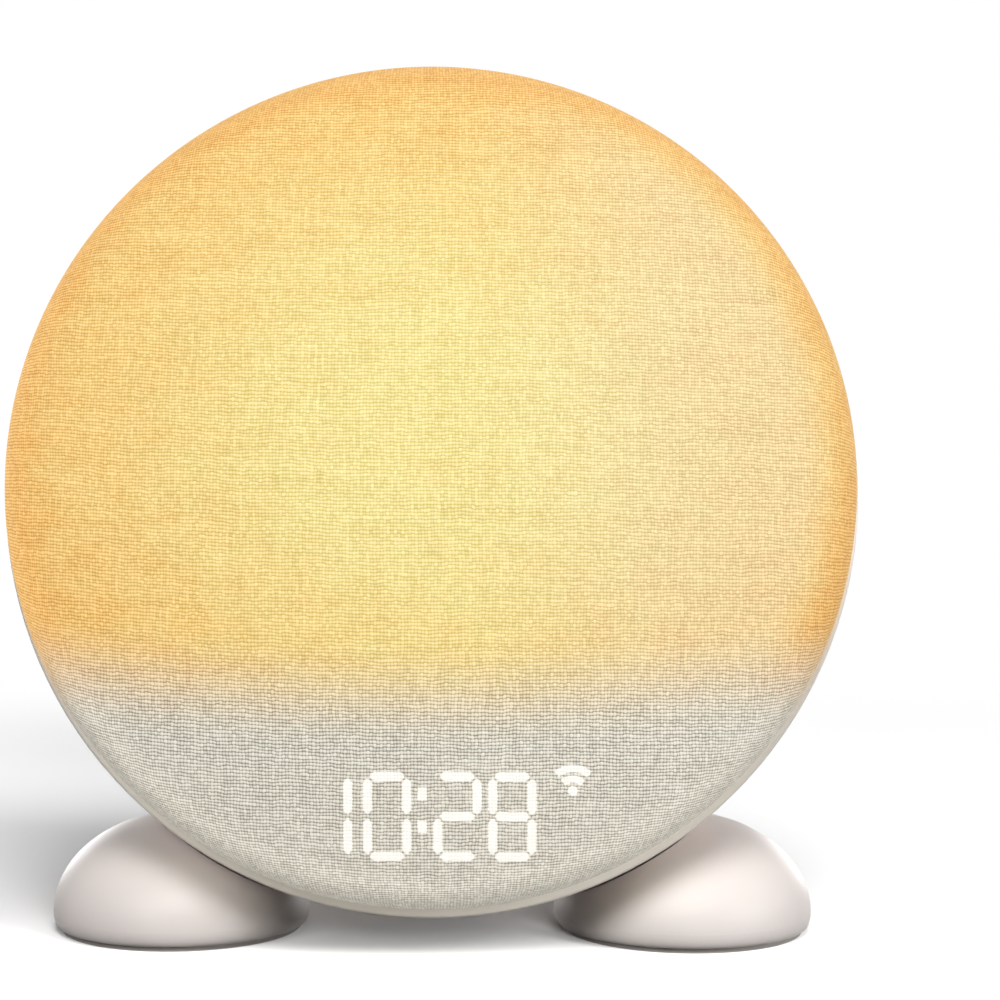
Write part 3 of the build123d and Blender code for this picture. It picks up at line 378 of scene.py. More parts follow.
def cover_route(cover):
    """The cover's half outline from crown to hem, and its top.

    Each stretch has a radius, which is 0 where it is straight, a turn and a length.
    """
    reach = cover.radius - cover.shoulder
    lean = asin(reach / (cover.crown - cover.shoulder))
    quarter = pi / 2
    arcs = [(cover.crown, lean), (cover.shoulder, quarter - lean)]
    route = [(radius, turn, radius * turn) for radius, turn in arcs]
    route.append((0.0, 0.0, cover.side - cover.low - cover.corner))
    route.append((cover.corner, quarter, cover.corner * quarter))
    route.append((0.0, 0.0, cover.hem - cover.corner))
    drop = (cover.crown - cover.shoulder) * cos(lean) - cover.side
    return route, cover.crown - drop


def route_length(route):
    """Length of the outline from crown to hem, which is half the flat cloth."""
    return sum(run for _, _, run in route)


def along_route(tree, travel, route, top):
    """Radius and level at a distance from the crown along the outline."""
    radius, height, start, heading = 0.0, top, 0.0, 0.0
    for bend, turn, run in route:
        part = tree.largest(tree.smallest(travel - start, run), 0.0)
        if bend:
            facing = part / bend + heading
            radius = radius + bend * (tree.math("SINE", facing) - sin(heading))
            height = height + bend * (tree.math("COSINE", facing) - cos(heading))
        else:
            radius = radius + part * cos(heading)
            height = height - part * sin(heading)
        start += run
        heading += turn
    return radius, height


def input_socket(group, name, kind, value):
    """A named input of a geometry tree."""
    socket = group.interface.new_socket(name, in_out="INPUT", socket_type=kind)
    socket.default_value = value
    return socket


def cover_tree(cover, cloth):
    """Geometry tree of the cover: a grid rolled into a dome that keeps its flat place as a map."""
    route, top = cover_route(cover)
    reach = route_length(route)
    group = bpy.data.node_groups.new("cover_dome", "GeometryNodeTree")
    rings = input_socket(group, "Rings", "NodeSocketInt", cover.rings)
    spokes = input_socket(group, "Spokes", "NodeSocketInt", cover.spokes)
    group.interface.new_socket("Geometry", in_out="OUTPUT", socket_type="NodeSocketGeometry")
    tree = Tree(group)
    asked = {name: tree.add("NodeGroupInput", output=name) for name in (rings.name, spokes.name)}
    counts = {"Vertices X": asked["Rings"] + 1, "Vertices Y": asked["Spokes"] + 1}
    grid = tree.add("GeometryNodeMeshGrid", None, {"Size X": reach, "Size Y": 2 * pi, **counts})
    x, y, _ = tree.split(tree.add("GeometryNodeInputPosition"))
    travel = tree.largest(x + reach / 2, 0.0)
    radius, height = along_route(tree, travel, route, top)
    east, north = tree.math("COSINE", y), tree.math("SINE", y)
    kept = {"Geometry": grid, "Name": WEAVE_MAP, "Value": tree.join(travel * east, travel * north)}
    corners_of_two = {"data_type": "FLOAT2", "domain": "CORNER"}
    flat = tree.add("GeometryNodeStoreNamedAttribute", corners_of_two, kept)
    dome = {"Geometry": flat, "Position": tree.join(radius * east, radius * north, height)}
    dome = tree.add("GeometryNodeSetPosition", None, dome)
    merged = tree.add("GeometryNodeMergeByDistance", None, {"Geometry": dome, "Distance": 1e-6})
    smooth = tree.add("GeometryNodeSetShadeSmooth", None, {"Geometry": merged})
    real = tree.add("GeometryNodeRealizeInstances", None, {"Geometry": smooth})
    painted = tree.add("GeometryNodeSetMaterial", None, {"Geometry": real, "Material": cloth})
    tree.add("NodeGroupOutput", None, {"Geometry": painted})
    return group


def settled(piece):
    """Replaces a piece's modifiers by their result."""
    shape = piece.evaluated_get(bpy.context.evaluated_depsgraph_get())
    mesh = bpy.data.meshes.new_from_object(shape)
    piece.modifiers.clear()
    piece.data = mesh
    mesh.name = piece.name
    return piece


def grown(name, group, values):
    """A new piece whose mesh a geometry tree makes."""
    piece = bpy.data.objects.new(name, bpy.data.meshes.new(name))
    bpy.context.scene.collection.objects.link(piece)
    modifier = piece.modifiers.new("shape", "NODES")
    modifier.node_group = group
    for item in group.interface.items_tree:
        if item.item_type == "SOCKET" and item.name in values:
            modifier[item.identifier] = values[item.name]
    return settled(piece)


def face_out(mesh, sheet=False):
    """Turns the faces outwards, which on a sheet is the side that its top shows upwards."""
    bm = bmesh.new()
    bm.from_mesh(mesh)
    bmesh.ops.recalc_face_normals(bm, faces=bm.faces)
    if sheet and max(bm.verts, key=lambda vertex: vertex.co.z).normal.z < 0:
        bmesh.ops.reverse_faces(bm, faces=bm.faces)
    bm.to_mesh(mesh)
    bm.free()


def lay_bake_map(mesh, reach, faces_outside):
    """Spreads the outside over the whole bake map and puts the inside in a free corner."""
    weave = mesh.uv_layers[WEAVE_MAP].data
    bake = mesh.uv_layers.new(name=BAKE_MAP).data
    corner = 0.08  # half the width of the corner beside the round outside, in map widths
    corner_slack = 1.02
    outside_width = 0.99
    for polygon in mesh.polygons:
        inside = polygon.index >= faces_outside
        for loop in polygon.loop_indices:
            place = weave[loop].uv / (2 * reach)
            if inside:
                bake[loop].uv = [corner * (1 + 2 * side) / corner_slack for side in place]
            else:
                bake[loop].uv = [0.5 + side * outside_width for side in place]


# ---- weave and light --------------------------------------------------------------------------


def thread_counts(tree, cover):
    """The flat place, and how many threads it lies across and up in the stretched cloth."""
    flat = tree.add("ShaderNodeUVMap", {"uv_map": WEAVE_MAP})
    x, y, _ = tree.split(flat)
    left = tree.smallest(x, 0.0)
    y = y - left * left * (cover.droop / (2 * cover.radius))
    sway = tree.split(tree.noise(flat, 14 * MM, detail=1.0, output="Color"))
    jitter = tree.split(tree.noise(flat, 1.7 * MM, output="Color"))
    sway_reach, warp_jitter, weft_jitter = 1.6, 0.55, 0.6  # in threads
    columns = x / cover.warp + (sway[0] - 0.5) * sway_reach + (jitter[0] - 0.5) * warp_jitter
    rows = y / cover.weft + (sway[1] - 0.5) * sway_reach + (jitter[1] - 0.5) * weft_jitter
    return flat, columns, rows


def thread_profile(tree, offset, half):
    """Height of a round thread at an offset from its middle."""
    aside = offset / half
    return tree.math("SQRT", tree.largest(1 - aside * aside, 0.0))


def wave(tree, turns):
    """Cosine that falls from 1 at a crossing's middle to -1 a whole thread on."""
    return tree.math("COSINE", turns * pi)


def plain_weave(tree, cover, columns, rows):
    """Height of the weave, from 0 in the gaps, and how light each thread and each crossing is."""
    column, row = tree.math("FLOOR", columns), tree.math("FLOOR", rows)
    x, y = columns - column - 0.5, rows - row - 0.5
    over = 1 - (column + row) % 2 * 2
    slow = 0.045  # how fast a thread changes along its run, for each thread it crosses
    apart = 7.3  # keeps neighbouring threads unlike
    other = 5.0  # keeps the cross threads unlike the upright ones
    warp_slub = tree.noise(tree.join(column * apart, rows * slow), 1.0, detail=1.5)
    weft_slub = tree.noise(tree.join(columns * slow, row * apart, other), 1.0, detail=1.5)
    swell = 2 * cover.slub
    warp_half = ((warp_slub - 0.5) * swell + 1) * (cover.warp_fill / 2)
    weft_half = ((weft_slub - 0.5) * swell + 1) * (cover.weft_fill / 2)
    climb = cover.crimp + 1 - cover.warp_depth  # brings upright threads as high as cross threads
    warp = thread_profile(tree, x, warp_half) * cover.warp_depth + over * climb * wave(tree, y)
    weft = thread_profile(tree, y, weft_half) - over * cover.crimp * wave(tree, x)
    upper = warp > weft
    cell = {"Vector": tree.join(column, row)}
    crossing = tree.add("ShaderNodeTexWhiteNoise", {"noise_dimensions": "2D"}, cell) - 0.5
    spread = 0.4  # how unlike in lightness two crossings are
    light = weft_slub + upper * (warp_slub - weft_slub) + crossing * spread
    return tree.largest(warp, weft) + crossing * cover.uneven, light


def bar_distance(tree, x, y, display, length, upright):
    """Distance outside a bar with chamfered ends, from its middle."""
    dx, dy = tree.size(x), tree.size(y)
    wide, long = (dx, dy) if upright else (dy, dx)
    chamfer = (wide + long - (length / 2 + display.end)) * sqrt(0.5)
    return tree.largest(wide - display.bar / 2, long - length / 2, chamfer)


def digit_distance(tree, display, x, y, segments):
    """Distance outside a seven-segment digit, from its middle."""
    side = (display.width - display.bar) / 2
    floor = (display.tall - display.bar) / 2
    across = display.width - display.bar - display.tips
    upright = floor - display.tips
    places = {
        "a": (0, floor), "b": (side, floor / 2), "c": (side, -floor / 2), "d": (0, -floor),
        "e": (-side, -floor / 2), "f": (-side, floor / 2), "g": (0, 0),
    }
    bars = []
    for segment in segments:
        right, up = places[segment]
        is_upright = right != 0
        length = upright if is_upright else across
        bars.append(bar_distance(tree, x - right, y - up, display, length, is_upright))
    return tree.smallest(*bars)


def icon_distance(tree, display, x, y):
    """Distance outside the icon of a dot under two arcs, from its foot."""
    away = tree.length(x, y)
    wedge = tree.size(x) * cos(display.icon_fan) - y * sin(display.icon_fan)
    arcs = [
        tree.largest(tree.size(away - radius) - display.icon_line / 2, wedge)
        for radius in (display.icon_small, display.icon_large)
    ]
    dot = tree.length(x, y - display.icon_dot) - display.icon_dot
    return tree.smallest(dot, *arcs)


def marks_distance(tree, display, x, y):
    """Distance outside all the lit marks."""
    pair = display.bar / 2 + display.space + display.width / 2
    second, third = display.colon - pair, display.colon + pair
    first = second - display.width / 2 - display.one_space - display.bar / 2
    fourth = third + display.width + display.space
    one_side = (display.width - display.bar) / 2
    y = y - display.height
    digits = [(first - one_side, "bc"), (second, "abcdef"), (third, "abdeg"), (fourth, "abcdefg")]
    marks = [digit_distance(tree, display, x - place, y, segments) for place, segments in digits]
    dot_x = tree.size(x - display.colon) - display.bar / 2
    dot_y = tree.size(tree.size(y - display.colon_rise) - display.colon_spread)
    dot_y = dot_y - display.colon_tall / 2
    marks.append(tree.largest(dot_x, dot_y))
    icon_half = (display.icon_large + display.icon_line / 2) * sin(display.icon_fan)
    icon = fourth + display.width / 2 + display.icon_space + icon_half
    marks.append(icon_distance(tree, display, x - icon, y - display.icon_rise))
    return tree.smallest(*marks)


def glow_warmth(tree, across, up, out, uneven):
    """How far the glow has turned from its middle to its rim colours, by shares of the radius."""
    to_rim, at_rim, at_left, at_foot, at_top = 0.55, 0.4, 0.14, 0.3, 0.25
    warm = tree.rise(out, 0.2, 0.9) * to_rim + tree.rise(out, 0.86, 0.99) * at_rim
    warm = warm - tree.smallest(across, 0.0) * at_left - tree.smallest(up, 0.0) * at_foot
    warm = warm + tree.rise(up, 0.6, 1.0) * at_top + uneven
    return tree.largest(tree.smallest(warm, 1.0), 0.0)


def glow_colour(tree, glow, shown, warm, painted_sheen):
    """Colour of the lit cloth, from its gaps to the tops of its threads."""
    # Blends in the painted sheen's paler colour towards the right, on threads and gaps.
    gap_level = 0.6  # of the pale side's gaps
    thread = tree.blend(painted_sheen, tree.blend(warm, glow.thread, glow.rim_thread), glow.painted_sheen)
    gap = tree.blend(painted_sheen, tree.blend(warm, glow.gap, glow.rim_gap), scaled(glow.painted_sheen, gap_level))
    return tree.blend(shown, gap, thread)


def plain_colour(tree, cover, flat, shown):
    """Colour of the unlit cloth, from its gaps to the tops of its threads, with painted shade in the gaps and on
    the threads' sides.
    """
    blotch = tree.noise(flat, 12 * MM, detail=2.0)
    dull = scaled(cover.thread, 0.97)
    return tree.blend(shown, cover.gap, tree.blend(blotch, dull, cover.thread))


def cover_cloth(cover, glow, display):
    """The cover's material: threads, the sunrise light behind them and the lit digits."""
    material, tree = start_material("woven_cover")
    x, y, _ = tree.split(body_place(tree))
    flat, columns, rows = thread_counts(tree, cover)
    height, light = plain_weave(tree, cover, columns, rows)
    # How high a point lies on the threads, from the gaps to the tops. The colours follow it, which paints shade
    # into the gaps and onto the threads' sides.
    gap_top, thread_top = 0.08, 0.95
    shown = tree.rise(height, gap_top, thread_top + cover.crimp)

    across, up = x / cover.radius, y / cover.radius
    out = tree.length(x, y) / cover.radius
    edge = tree.rise(out, 0.84, 0.97)
    streak_place = tree.join(columns * 0.02, rows * 0.14)  # so that streaks are long across
    streaks = tree.noise(streak_place, 1.0, detail=2.0)
    patches = tree.noise(flat, 9 * MM, detail=3.0, roughness=0.6)
    warm_patches, warm_streaks, most_sheen = 0.5, 0.35, 0.4
    uneven = (patches - 0.5) * warm_patches + (streaks - 0.5) * warm_streaks
    warm = glow_warmth(tree, across, up, out, uneven)
    # Painted sheen: paler towards the right side, fading out near the rim.
    painted_sheen = tree.rise(across, 0.0, 0.65) * (1 - edge) * most_sheen
    lit = glow_colour(tree, glow, shown, warm, painted_sheen)
    plain = plain_colour(tree, cover, flat, shown)

    above = y - across * across * glow.sag
    lit_share = tree.rise(above, glow.edge - glow.blur, glow.edge + glow.blur)
    thread_contrast, end_fade, given_slope = 0.22, 0.45, 0.2
    depth = (light - 0.5) * thread_contrast + 1
    # Painted light on the unlit cloth: emission in place of lamp light, rising near the rim and falling off again
    # at its very edge.
    fade = 1 - tree.rise(out, 0.94, 1.0) * end_fade
    painted_light_share = (edge * cover.edge_painted_light + cover.painted_light_share) * fade
    # Share of the glow's look given out as emission, more near the rim and most at the left edge. The rest is
    # painted light in the base colour.
    given = edge * (glow.edge_given - across * given_slope) + glow.given
    # Base colour: the unlit cloth's own colour, and where the glow is, the glow's colours as painted light, each
    # less its share given out as emission.
    colour_and_painted_glow = tree.blend(lit_share, tree.times(plain, 1 - painted_light_share), tree.times(lit, 1 - given))
    colour_and_painted_glow = tree.times(colour_and_painted_glow, depth)
    shine = tree.blend(lit_share, tree.times(plain, painted_light_share), tree.times(lit, given))
    shine = tree.times(shine, depth)

    apart = marks_distance(tree, display, x, y)
    marks = 1 - tree.rise(apart, -display.soft, display.soft)
    in_gaps, on_threads = [scaled(display.colour, part) for part in (display.gap, display.thread)]
    digits = tree.blend(shown, in_gaps, on_threads)
    shine = tree.vector("ADD", shine, tree.times(digits, marks))
    bump = {"Strength": 0.5, "Distance": 0.12 * MM, "Height": height}
    close_material(tree, {
        "Base Color": colour_and_painted_glow,
        "Roughness": 0.86 + (light - 0.5) * 0.1,
        "Sheen Weight": 0.12,
        "Sheen Roughness": 0.6,
        "Specular IOR Level": 0.25,
        "Emission Color": shine,
        "Emission Strength": 1.0,
        "Normal": tree.add("ShaderNodeBump", None, bump),
    })
    return material


class CLOCK_OT_cover(bpy.types.Operator):
    """Build the stretched woven cover with its light and digits"""

    bl_idname = "clock.cover"
    bl_label = "Woven Cover"

    def execute(self, context):
        scene = context.scene
        cover = scene.clock_cover
        cloth = cover_cloth(cover, scene.clock_glow, scene.clock_display)
        group = cover_tree(cover, cloth)
        piece = grown("woven_cover", group, {"Rings": cover.rings, "Spokes": cover.spokes})
        face_out(piece.data, sheet=True)
        faces_outside = len(piece.data.polygons)
        wall = piece.modifiers.new("wall", "SOLIDIFY")
        wall.thickness = cover.thickness
        wall.offset = -1
        settled(piece)
        reach = route_length(cover_route(cover)[0])
        lay_bake_map(piece.data, reach, faces_outside)
        piece.data.transform(BODY)
        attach(piece, "housing")
        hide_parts("fabric_cover")
        return {"FINISHED"}


# ==== finishes of the framed parts =============================================================


GLOSS_CLOUDS, GLOSS_GRAINS = 0.12, 0.08  # how far clouds and grains change a plastic's roughness


def moulded(name, shade, roughness, grain=0.35 * MM, depth=0.02 * MM, mottle=0.04):
    """Moulded plastic: a fine eroded texture with faint mottling and slow changes of gloss."""
    material, tree = start_material(name)
    place = object_place(tree)
    grains = tree.noise(place, grain, detail=2.0)
    clouds = tree.noise(place, 18 * MM, detail=2.0)
    colour_and_painted_glow = tree.blend(clouds, scaled(shade, 1 - mottle), scaled(shade, 1 + mottle))
    gloss = (clouds - 0.5) * GLOSS_CLOUDS + (grains - 0.5) * GLOSS_GRAINS
    bump = {"Strength": 0.35, "Distance": depth, "Height": grains}
    close_material(tree, {
        "Base Color": colour_and_painted_glow,
        "Roughness": roughness + gloss,
        "Normal": tree.add("ShaderNodeBump", None, bump),
    })
    return material


def plated(name, shade, roughness, along=(1.0, 1.0, 1.0)):
    """Metal with fine drawn lines and dull patches."""
    material, tree = start_material(name)
    place = tree.vector("MULTIPLY", object_place(tree), along)
    lines = tree.noise(place, 0.4 * MM, detail=3.0)
    dull = tree.noise(place, 4 * MM, detail=2.0)
    bump = {"Strength": 0.2, "Distance": 0.01 * MM, "Height": lines}
    close_material(tree, {
        "Base Color": tree.blend(dull, scaled(shade, 0.88), shade),
        "Metallic": 1.0,
        "Roughness": roughness + (dull - 0.5) * 0.2 + (lines - 0.5) * 0.1,
        "Normal": tree.add("ShaderNodeBump", None, bump),
    })
    return material


def circuit(name, mask, track):
    """Circuit board: coloured lacquer over raised tracks and a glass-cloth core."""
    material, tree = start_material(name)
    place = body_place(tree)
    x, y, _ = tree.split(place)
    lane, cell, slant = 1.6 * MM, 6 * MM, 0.5
    cells = {"Vector": place, "Scale": 1 / cell, "Randomness": 0.7}
    turns = tree.add("ShaderNodeTexVoronoi", {"distance": "CHEBYCHEV"}, cells)
    stripes = tree.size((x + y * slant + turns * cell) / lane % 1 - 0.5)
    tracks = 1 - tree.rise(stripes, 0.16, 0.2)
    cloth = tree.noise(tree.vector("MULTIPLY", place, (1.0, 4.0, 1.0)), 0.8 * MM)
    colour_and_painted_glow = tree.blend(tracks, mask, track)
    bump = {"Strength": 0.4, "Distance": 0.03 * MM, "Height": tracks + cloth * 0.3}
    close_material(tree, {
        "Base Color": tree.blend(cloth * 0.15, colour_and_painted_glow, scaled(mask, 1.3)),
        "Roughness": 0.34 + tracks * 0.1,
        "Normal": tree.add("ShaderNodeBump", None, bump),
    })
    return material


def ripple(tree, place, pitch):
    """Even waves between 0 and 1."""
    return tree.math("SINE", place * (2 * pi / pitch)) * 0.5 + 0.5


def ribbed(name, shade, groove, pitch, axis, roughness, metallic=0.0):
    """Fine even ribs across one body axis, such as a winding or a ribbon's conductors."""
    material, tree = start_material(name)
    place = tree.split(body_place(tree))["XYZ".index(axis)]
    rib = ripple(tree, place, pitch)
    spots = tree.noise(object_place(tree), 3 * MM, detail=2.0)
    bump = {"Strength": 0.6, "Distance": pitch / 4, "Height": rib}
    close_material(tree, {
        "Base Color": tree.blend(rib, groove, shade),
        "Metallic": metallic,
        "Roughness": roughness + (spots - 0.5) * 0.15,
        "Normal": tree.add("ShaderNodeBump", None, bump),
    })
    return material


def pressed_paper(name, shade):
    """Pressed fibre of a speaker cone."""
    material, tree = start_material(name)
    place = object_place(tree)
    fibres = tree.noise(place, 0.5 * MM, detail=4.0, roughness=0.7)
    felt = tree.noise(place, 5 * MM, detail=2.0)
    bump = {"Strength": 0.6, "Distance": 0.06 * MM, "Height": fibres}
    close_material(tree, {
        "Base Color": tree.blend(fibres * felt, scaled(shade, 0.7), scaled(shade, 2.2)),
        "Roughness": 0.85 + (fibres - 0.5) * 0.2,
        "Normal": tree.add("ShaderNodeBump", None, bump),
    })
    return material


def resin_cloth(name, thread, gap):
    """Coarse resined cloth of a speaker's centring disc."""
    material, tree = start_material(name)
    x, y, _ = tree.split(body_place(tree))
    pitch = 0.7 * MM
    top = tree.largest(ripple(tree, x, pitch), ripple(tree, y, pitch))
    bump = {"Strength": 0.6, "Distance": 0.1 * MM, "Height": top}
    close_material(tree, {
        "Base Color": tree.blend(top, gap, thread),
        "Roughness": 0.6 + top * 0.1,
        "Normal": tree.add("ShaderNodeBump", None, bump),
    })
    return material


def finishes():
    """One material for each of the record's slots."""
    shell = tone(243, 234, 229)
    green, copper = tone(20, 96, 52), tone(214, 150, 104)
    resin, film, film_gap = tone(243, 210, 96), tone(222, 160, 78), tone(168, 104, 40)
    return {
        "woven_fabric": moulded("cover_backing", tone(207, 203, 190), 0.9),
        "opal_plastic": moulded("opal_plastic", tone(244, 243, 238), 0.45, depth=0.01 * MM),
        "housing_plastic": moulded("housing_plastic", shell, 0.5),
        "trim_plastic": moulded("trim_plastic", tone(247, 240, 230), 0.42, depth=0.01 * MM),
        "button_plastic": moulded("button_plastic", scaled(shell, 0.9), 0.4, grain=0.25 * MM),
        "grey_plastic": moulded("grey_plastic", tone(146, 143, 140), 0.6),
        "white_plastic": moulded("white_plastic", tone(243, 243, 241), 0.28, depth=0.005 * MM),
        "black_plastic": moulded("black_plastic", tone(34, 34, 35), 0.5, mottle=0.15),
        "display_light": moulded("display_light", tone(250, 252, 255), 0.4, depth=0.005 * MM),
        "white_board": circuit("white_board", tone(240, 240, 236), tone(226, 226, 220)),
        "green_board": circuit("green_board", green, scaled(green, 1.7)),
        "led_resin": moulded("led_resin", resin, 0.15, grain=0.6 * MM, depth=0.005 * MM),
        "soft_rubber": moulded("soft_rubber", tone(196, 188, 182), 0.8, grain=0.2 * MM),
        "steel": plated("zinc_steel", tone(196, 196, 200), 0.32),
        # Painted shade: the winding's grooves between turns are its copper darkened to 0.3.
        "copper_wire": ribbed(
            "copper_winding", copper, scaled(copper, 0.3), 0.25 * MM, "Z", 0.3, metallic=1.0
        ),
        "speaker_paper": pressed_paper("speaker_paper", tone(62, 61, 64)),
        "spider_cloth": resin_cloth("spider_cloth", tone(214, 180, 108), tone(130, 98, 46)),
        "aluminium_can": plated("aluminium_can", tone(214, 216, 220), 0.25, along=(1.0, 1.0, 6.0)),
        "flat_cable": ribbed("flat_cable", film, film_gap, 1.0 * MM, "X", 0.35),
        "wire_sleeve": moulded("wire_sleeve", tone(44, 42, 43), 0.4, depth=0.005 * MM),
    }


class CLOCK_OT_finishes(bpy.types.Operator):
    """Give every part of the frame its finish"""

    bl_idname = "clock.finishes"
    bl_label = "Finishes"

    def execute(self, context):
        made = finishes()
        for name, node in frame["nodes"].items():
            node.data.materials.clear()
            node.data.materials.append(made[SLOT_OF[name]])
        return {"FINISHED"}


# ==== marks on the rear keys ===================================================================


def arc(radius, start, end, steps, centre=(0.0, 0.0)):
    """Points along an arc, from one angle to another."""
    angles = [start + (end - start) * step / steps for step in range(steps + 1)]
    return [(centre[0] + radius * cos(a), centre[1] + radius * sin(a)) for a in angles]


def cross_outline(width, tall, line):
    """Outline of a plus, or of a minus where it is no taller than its line."""
    a, b, c = width / 2, tall / 2, line / 2
    if tall <= line:
        return [(-a, -c), (a, -c), (a, c), (-a, c)]
    quarter = [(a, -c), (a, c), (c, c), (c, b), (-c, b), (-c, c)]
    return quarter + [(-x, -y) for x, y in quarter]


def moon_outline(size):
    """Outline of a crescent: a disc less a smaller disc to its left."""
    outer, inner, apart = size / 2, size * 0.42, size * 0.24
    tips = -(apart**2 + outer**2 - inner**2) / (2 * apart)  # where the two arcs meet, across
    half, back = acos(tips / outer), acos((tips + apart) / inner)
    return arc(outer, -half, half, 28) + arc(inner, back, -back, 24, (-apart, 0.0))[1:-1]


def note_outline(size, line):
    """Outline of a quaver: an oval head, a stem and a flag."""
    wide, tall = size * 0.24, size * 0.18
    meet = -asin(1 - line / wide) + pi / 2
    head = [(wide * x, tall * y) for x, y in arc(1.0, meet, 2 * pi, 28)]
    top = size - tall
    flag = [(0.0, 0.34), (0.2, 0.52), (0.24, 0.4), (0.08, 0.14), (0.0, 0.0)]  # right, down
    hung = [(wide + size * right, top - size * down) for right, down in flag]
    outline = head + hung + [(wide - line, top)]
    return [(x - wide / 2, y - (top - tall) / 2) for x, y in outline]


def sun_tree(marks):
    """Geometry tree of the sun: a disc with rays all round."""
    group = bpy.data.node_groups.new("sun_mark", "GeometryNodeTree")
    asked = input_socket(group, "Rays", "NodeSocketInt", marks.rays)
    group.interface.new_socket("Geometry", in_out="OUTPUT", socket_type="NodeSocketGeometry")
    tree = Tree(group)
    rays = tree.add("NodeGroupInput", output=asked.name)
    disc_radius, ring_radius = marks.size * 0.24, marks.size * 0.43
    ray_length, ray_width = marks.size * 0.17, marks.line * 0.8
    round_disc = {"Vertices": 32, "Radius": disc_radius}
    disc = tree.add("GeometryNodeMeshCircle", {"fill_type": "NGON"}, round_disc)
    ring = tree.add("GeometryNodeMeshCircle", None, {"Vertices": rays, "Radius": ring_radius})
    bar = {"Size X": ray_length, "Size Y": ray_width, "Vertices X": 2, "Vertices Y": 2}
    ray = tree.add("GeometryNodeMeshGrid", None, bar)
    turn = tree.join(0.0, 0.0, tree.add("GeometryNodeInputIndex") * (2 * pi) / rays)
    spread = {"Points": ring, "Instance": ray, "Rotation": turn}
    placed = tree.add("GeometryNodeInstanceOnPoints", None, spread)
    both = group.nodes.new("GeometryNodeJoinGeometry")
    for shape in (disc, placed):
        group.links.new(shape.socket, both.inputs[0])
    real = tree.add("GeometryNodeRealizeInstances", None, {"Geometry": Wire(tree, both.outputs[0])})
    ink = {"Geometry": real, "Material": bpy.data.materials["key_mark"]}
    tree.add("NodeGroupOutput", None, {"Geometry": tree.add("GeometryNodeSetMaterial", None, ink)})
    return group


def cut_out(name, outline):
    """A flat piece with that outline."""
    mesh = bpy.data.meshes.new(name)
    mesh.from_pydata([(x, y, 0) for x, y in outline], [], [range(len(outline))])
    mesh.materials.append(bpy.data.materials["key_mark"])
    piece = bpy.data.objects.new(name, mesh)
    bpy.context.scene.collection.objects.link(piece)
    return piece


def key_face(node):
    """Place of a key's outer face, with x to the right as seen from behind and z out of the key."""
    low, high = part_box(node)
    middle = BODY.inverted() @ ((low + high) / 2)
    outer = min((BODY.inverted() @ vertex.co).z for vertex in frame["nodes"][node].data.vertices)
    return BODY @ Matrix.Translation((middle.x, middle.y, outer)) @ Matrix.Rotation(pi, 4, "Y")


class CLOCK_OT_marks(bpy.types.Operator):
    """Raise the marks on the rear keys"""

    bl_idname = "clock.marks"
    bl_label = "Key Marks"

    def execute(self, context):
        marks = context.scene.clock_marks
        size, line = marks.size, marks.line
        sign = size * 0.8  # width of the plus and the minus
        moulded("key_mark", marks.shade, 0.45, depth=0.01 * MM)
        pieces = {
            "light": grown("light_mark", sun_tree(marks), {"Rays": marks.rays}),
            "volume_down": cut_out("volume_down_mark", cross_outline(sign, line, line)),
            "volume_up": cut_out("volume_up_mark", cross_outline(sign, sign, line)),
            "sound": cut_out("sound_mark", note_outline(size, line * 0.8)),
            "snooze": cut_out("snooze_mark", moon_outline(size)),
        }
        sunk = 0.05 * MM
        for key, piece in pieces.items():
            wall = piece.modifiers.new("wall", "SOLIDIFY")
            wall.thickness = marks.rise + sunk
            wall.offset = 1
            edge = piece.modifiers.new("edge", "BEVEL")
            edge.width = 0.06 * MM
            edge.segments = 2
            settled(piece)
            face_out(piece.data)
            piece.data.transform(key_face(f"{key}_button") @ Matrix.Translation((0, 0, -sunk)))
            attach(piece, f"{key}_key")
        return {"FINISHED"}


# ==== stage ====================================================================================


def only(name, pieces):
    """A collection of the pieces that a lamp lights."""
    group = bpy.data.collections.new(name)
    for piece in pieces:
        group.objects.link(piece)
    return group


def placed_light(light, lit):
    """A lamp's object, which lights one collection, or everything where that is None."""
    piece = bpy.data.objects.new(light.name, light)
    piece.light_linking.receiver_collection = lit
    bpy.context.scene.collection.objects.link(piece)
    return piece


def lamp(name, location, size, power, lit):
    """A soft square lamp that points at the middle of the disc."""
    light = bpy.data.lights.new(name, "AREA")
    light.size = size
    light.energy = power
    piece = placed_light(light, lit)
    piece.location = location
    piece.rotation_euler = (CENTRE - Vector(location)).to_track_quat("-Z", "Y").to_euler()


def sun(name, turn, height, spread, level, lit):
    """A soft sun at a turn to the right and a height, in degrees, that gives the floor a level."""
    light = bpy.data.lights.new(name, "SUN")
    light.angle = radians(spread)
    light.energy = level * pi / sin(radians(height))
    piece = placed_light(light, lit)
    piece.rotation_euler = (radians(90 - height), 0, radians(turn))


def shown_rays(tree):
    """1 where the camera sees a surface, straight or in a reflection."""
    kinds = ("Is Camera Ray", "Is Glossy Ray", "Is Transmission Ray")
    return tree.largest(*[tree.add("ShaderNodeLightPath", output=kind) for kind in kinds])


def floor_material(shade, bounce):
    """White floor that takes shadows near the clock and melts into the white background far off."""
    material, tree = start_material("stage_floor")
    x, y, _ = tree.split(object_place(tree))
    shadow_end, white_start = 0.32, 0.62  # metres from the clock
    far = tree.rise(tree.length(x, y), shadow_end, white_start)
    seen = shown_rays(tree)
    colour_seen = tree.blend(seen, scaled(shade, bounce), shade)
    paint = tree.add("ShaderNodeBsdfDiffuse", None, {"Color": colour_seen})
    white = tree.add("ShaderNodeEmission", None, {"Color": WHITE, "Strength": 1.0})
    mixed = tree.add("ShaderNodeMixShader", None, {0: far * seen, 1: paint, 2: white})
    tree.add("ShaderNodeOutputMaterial", None, {"Surface": mixed})
    return material


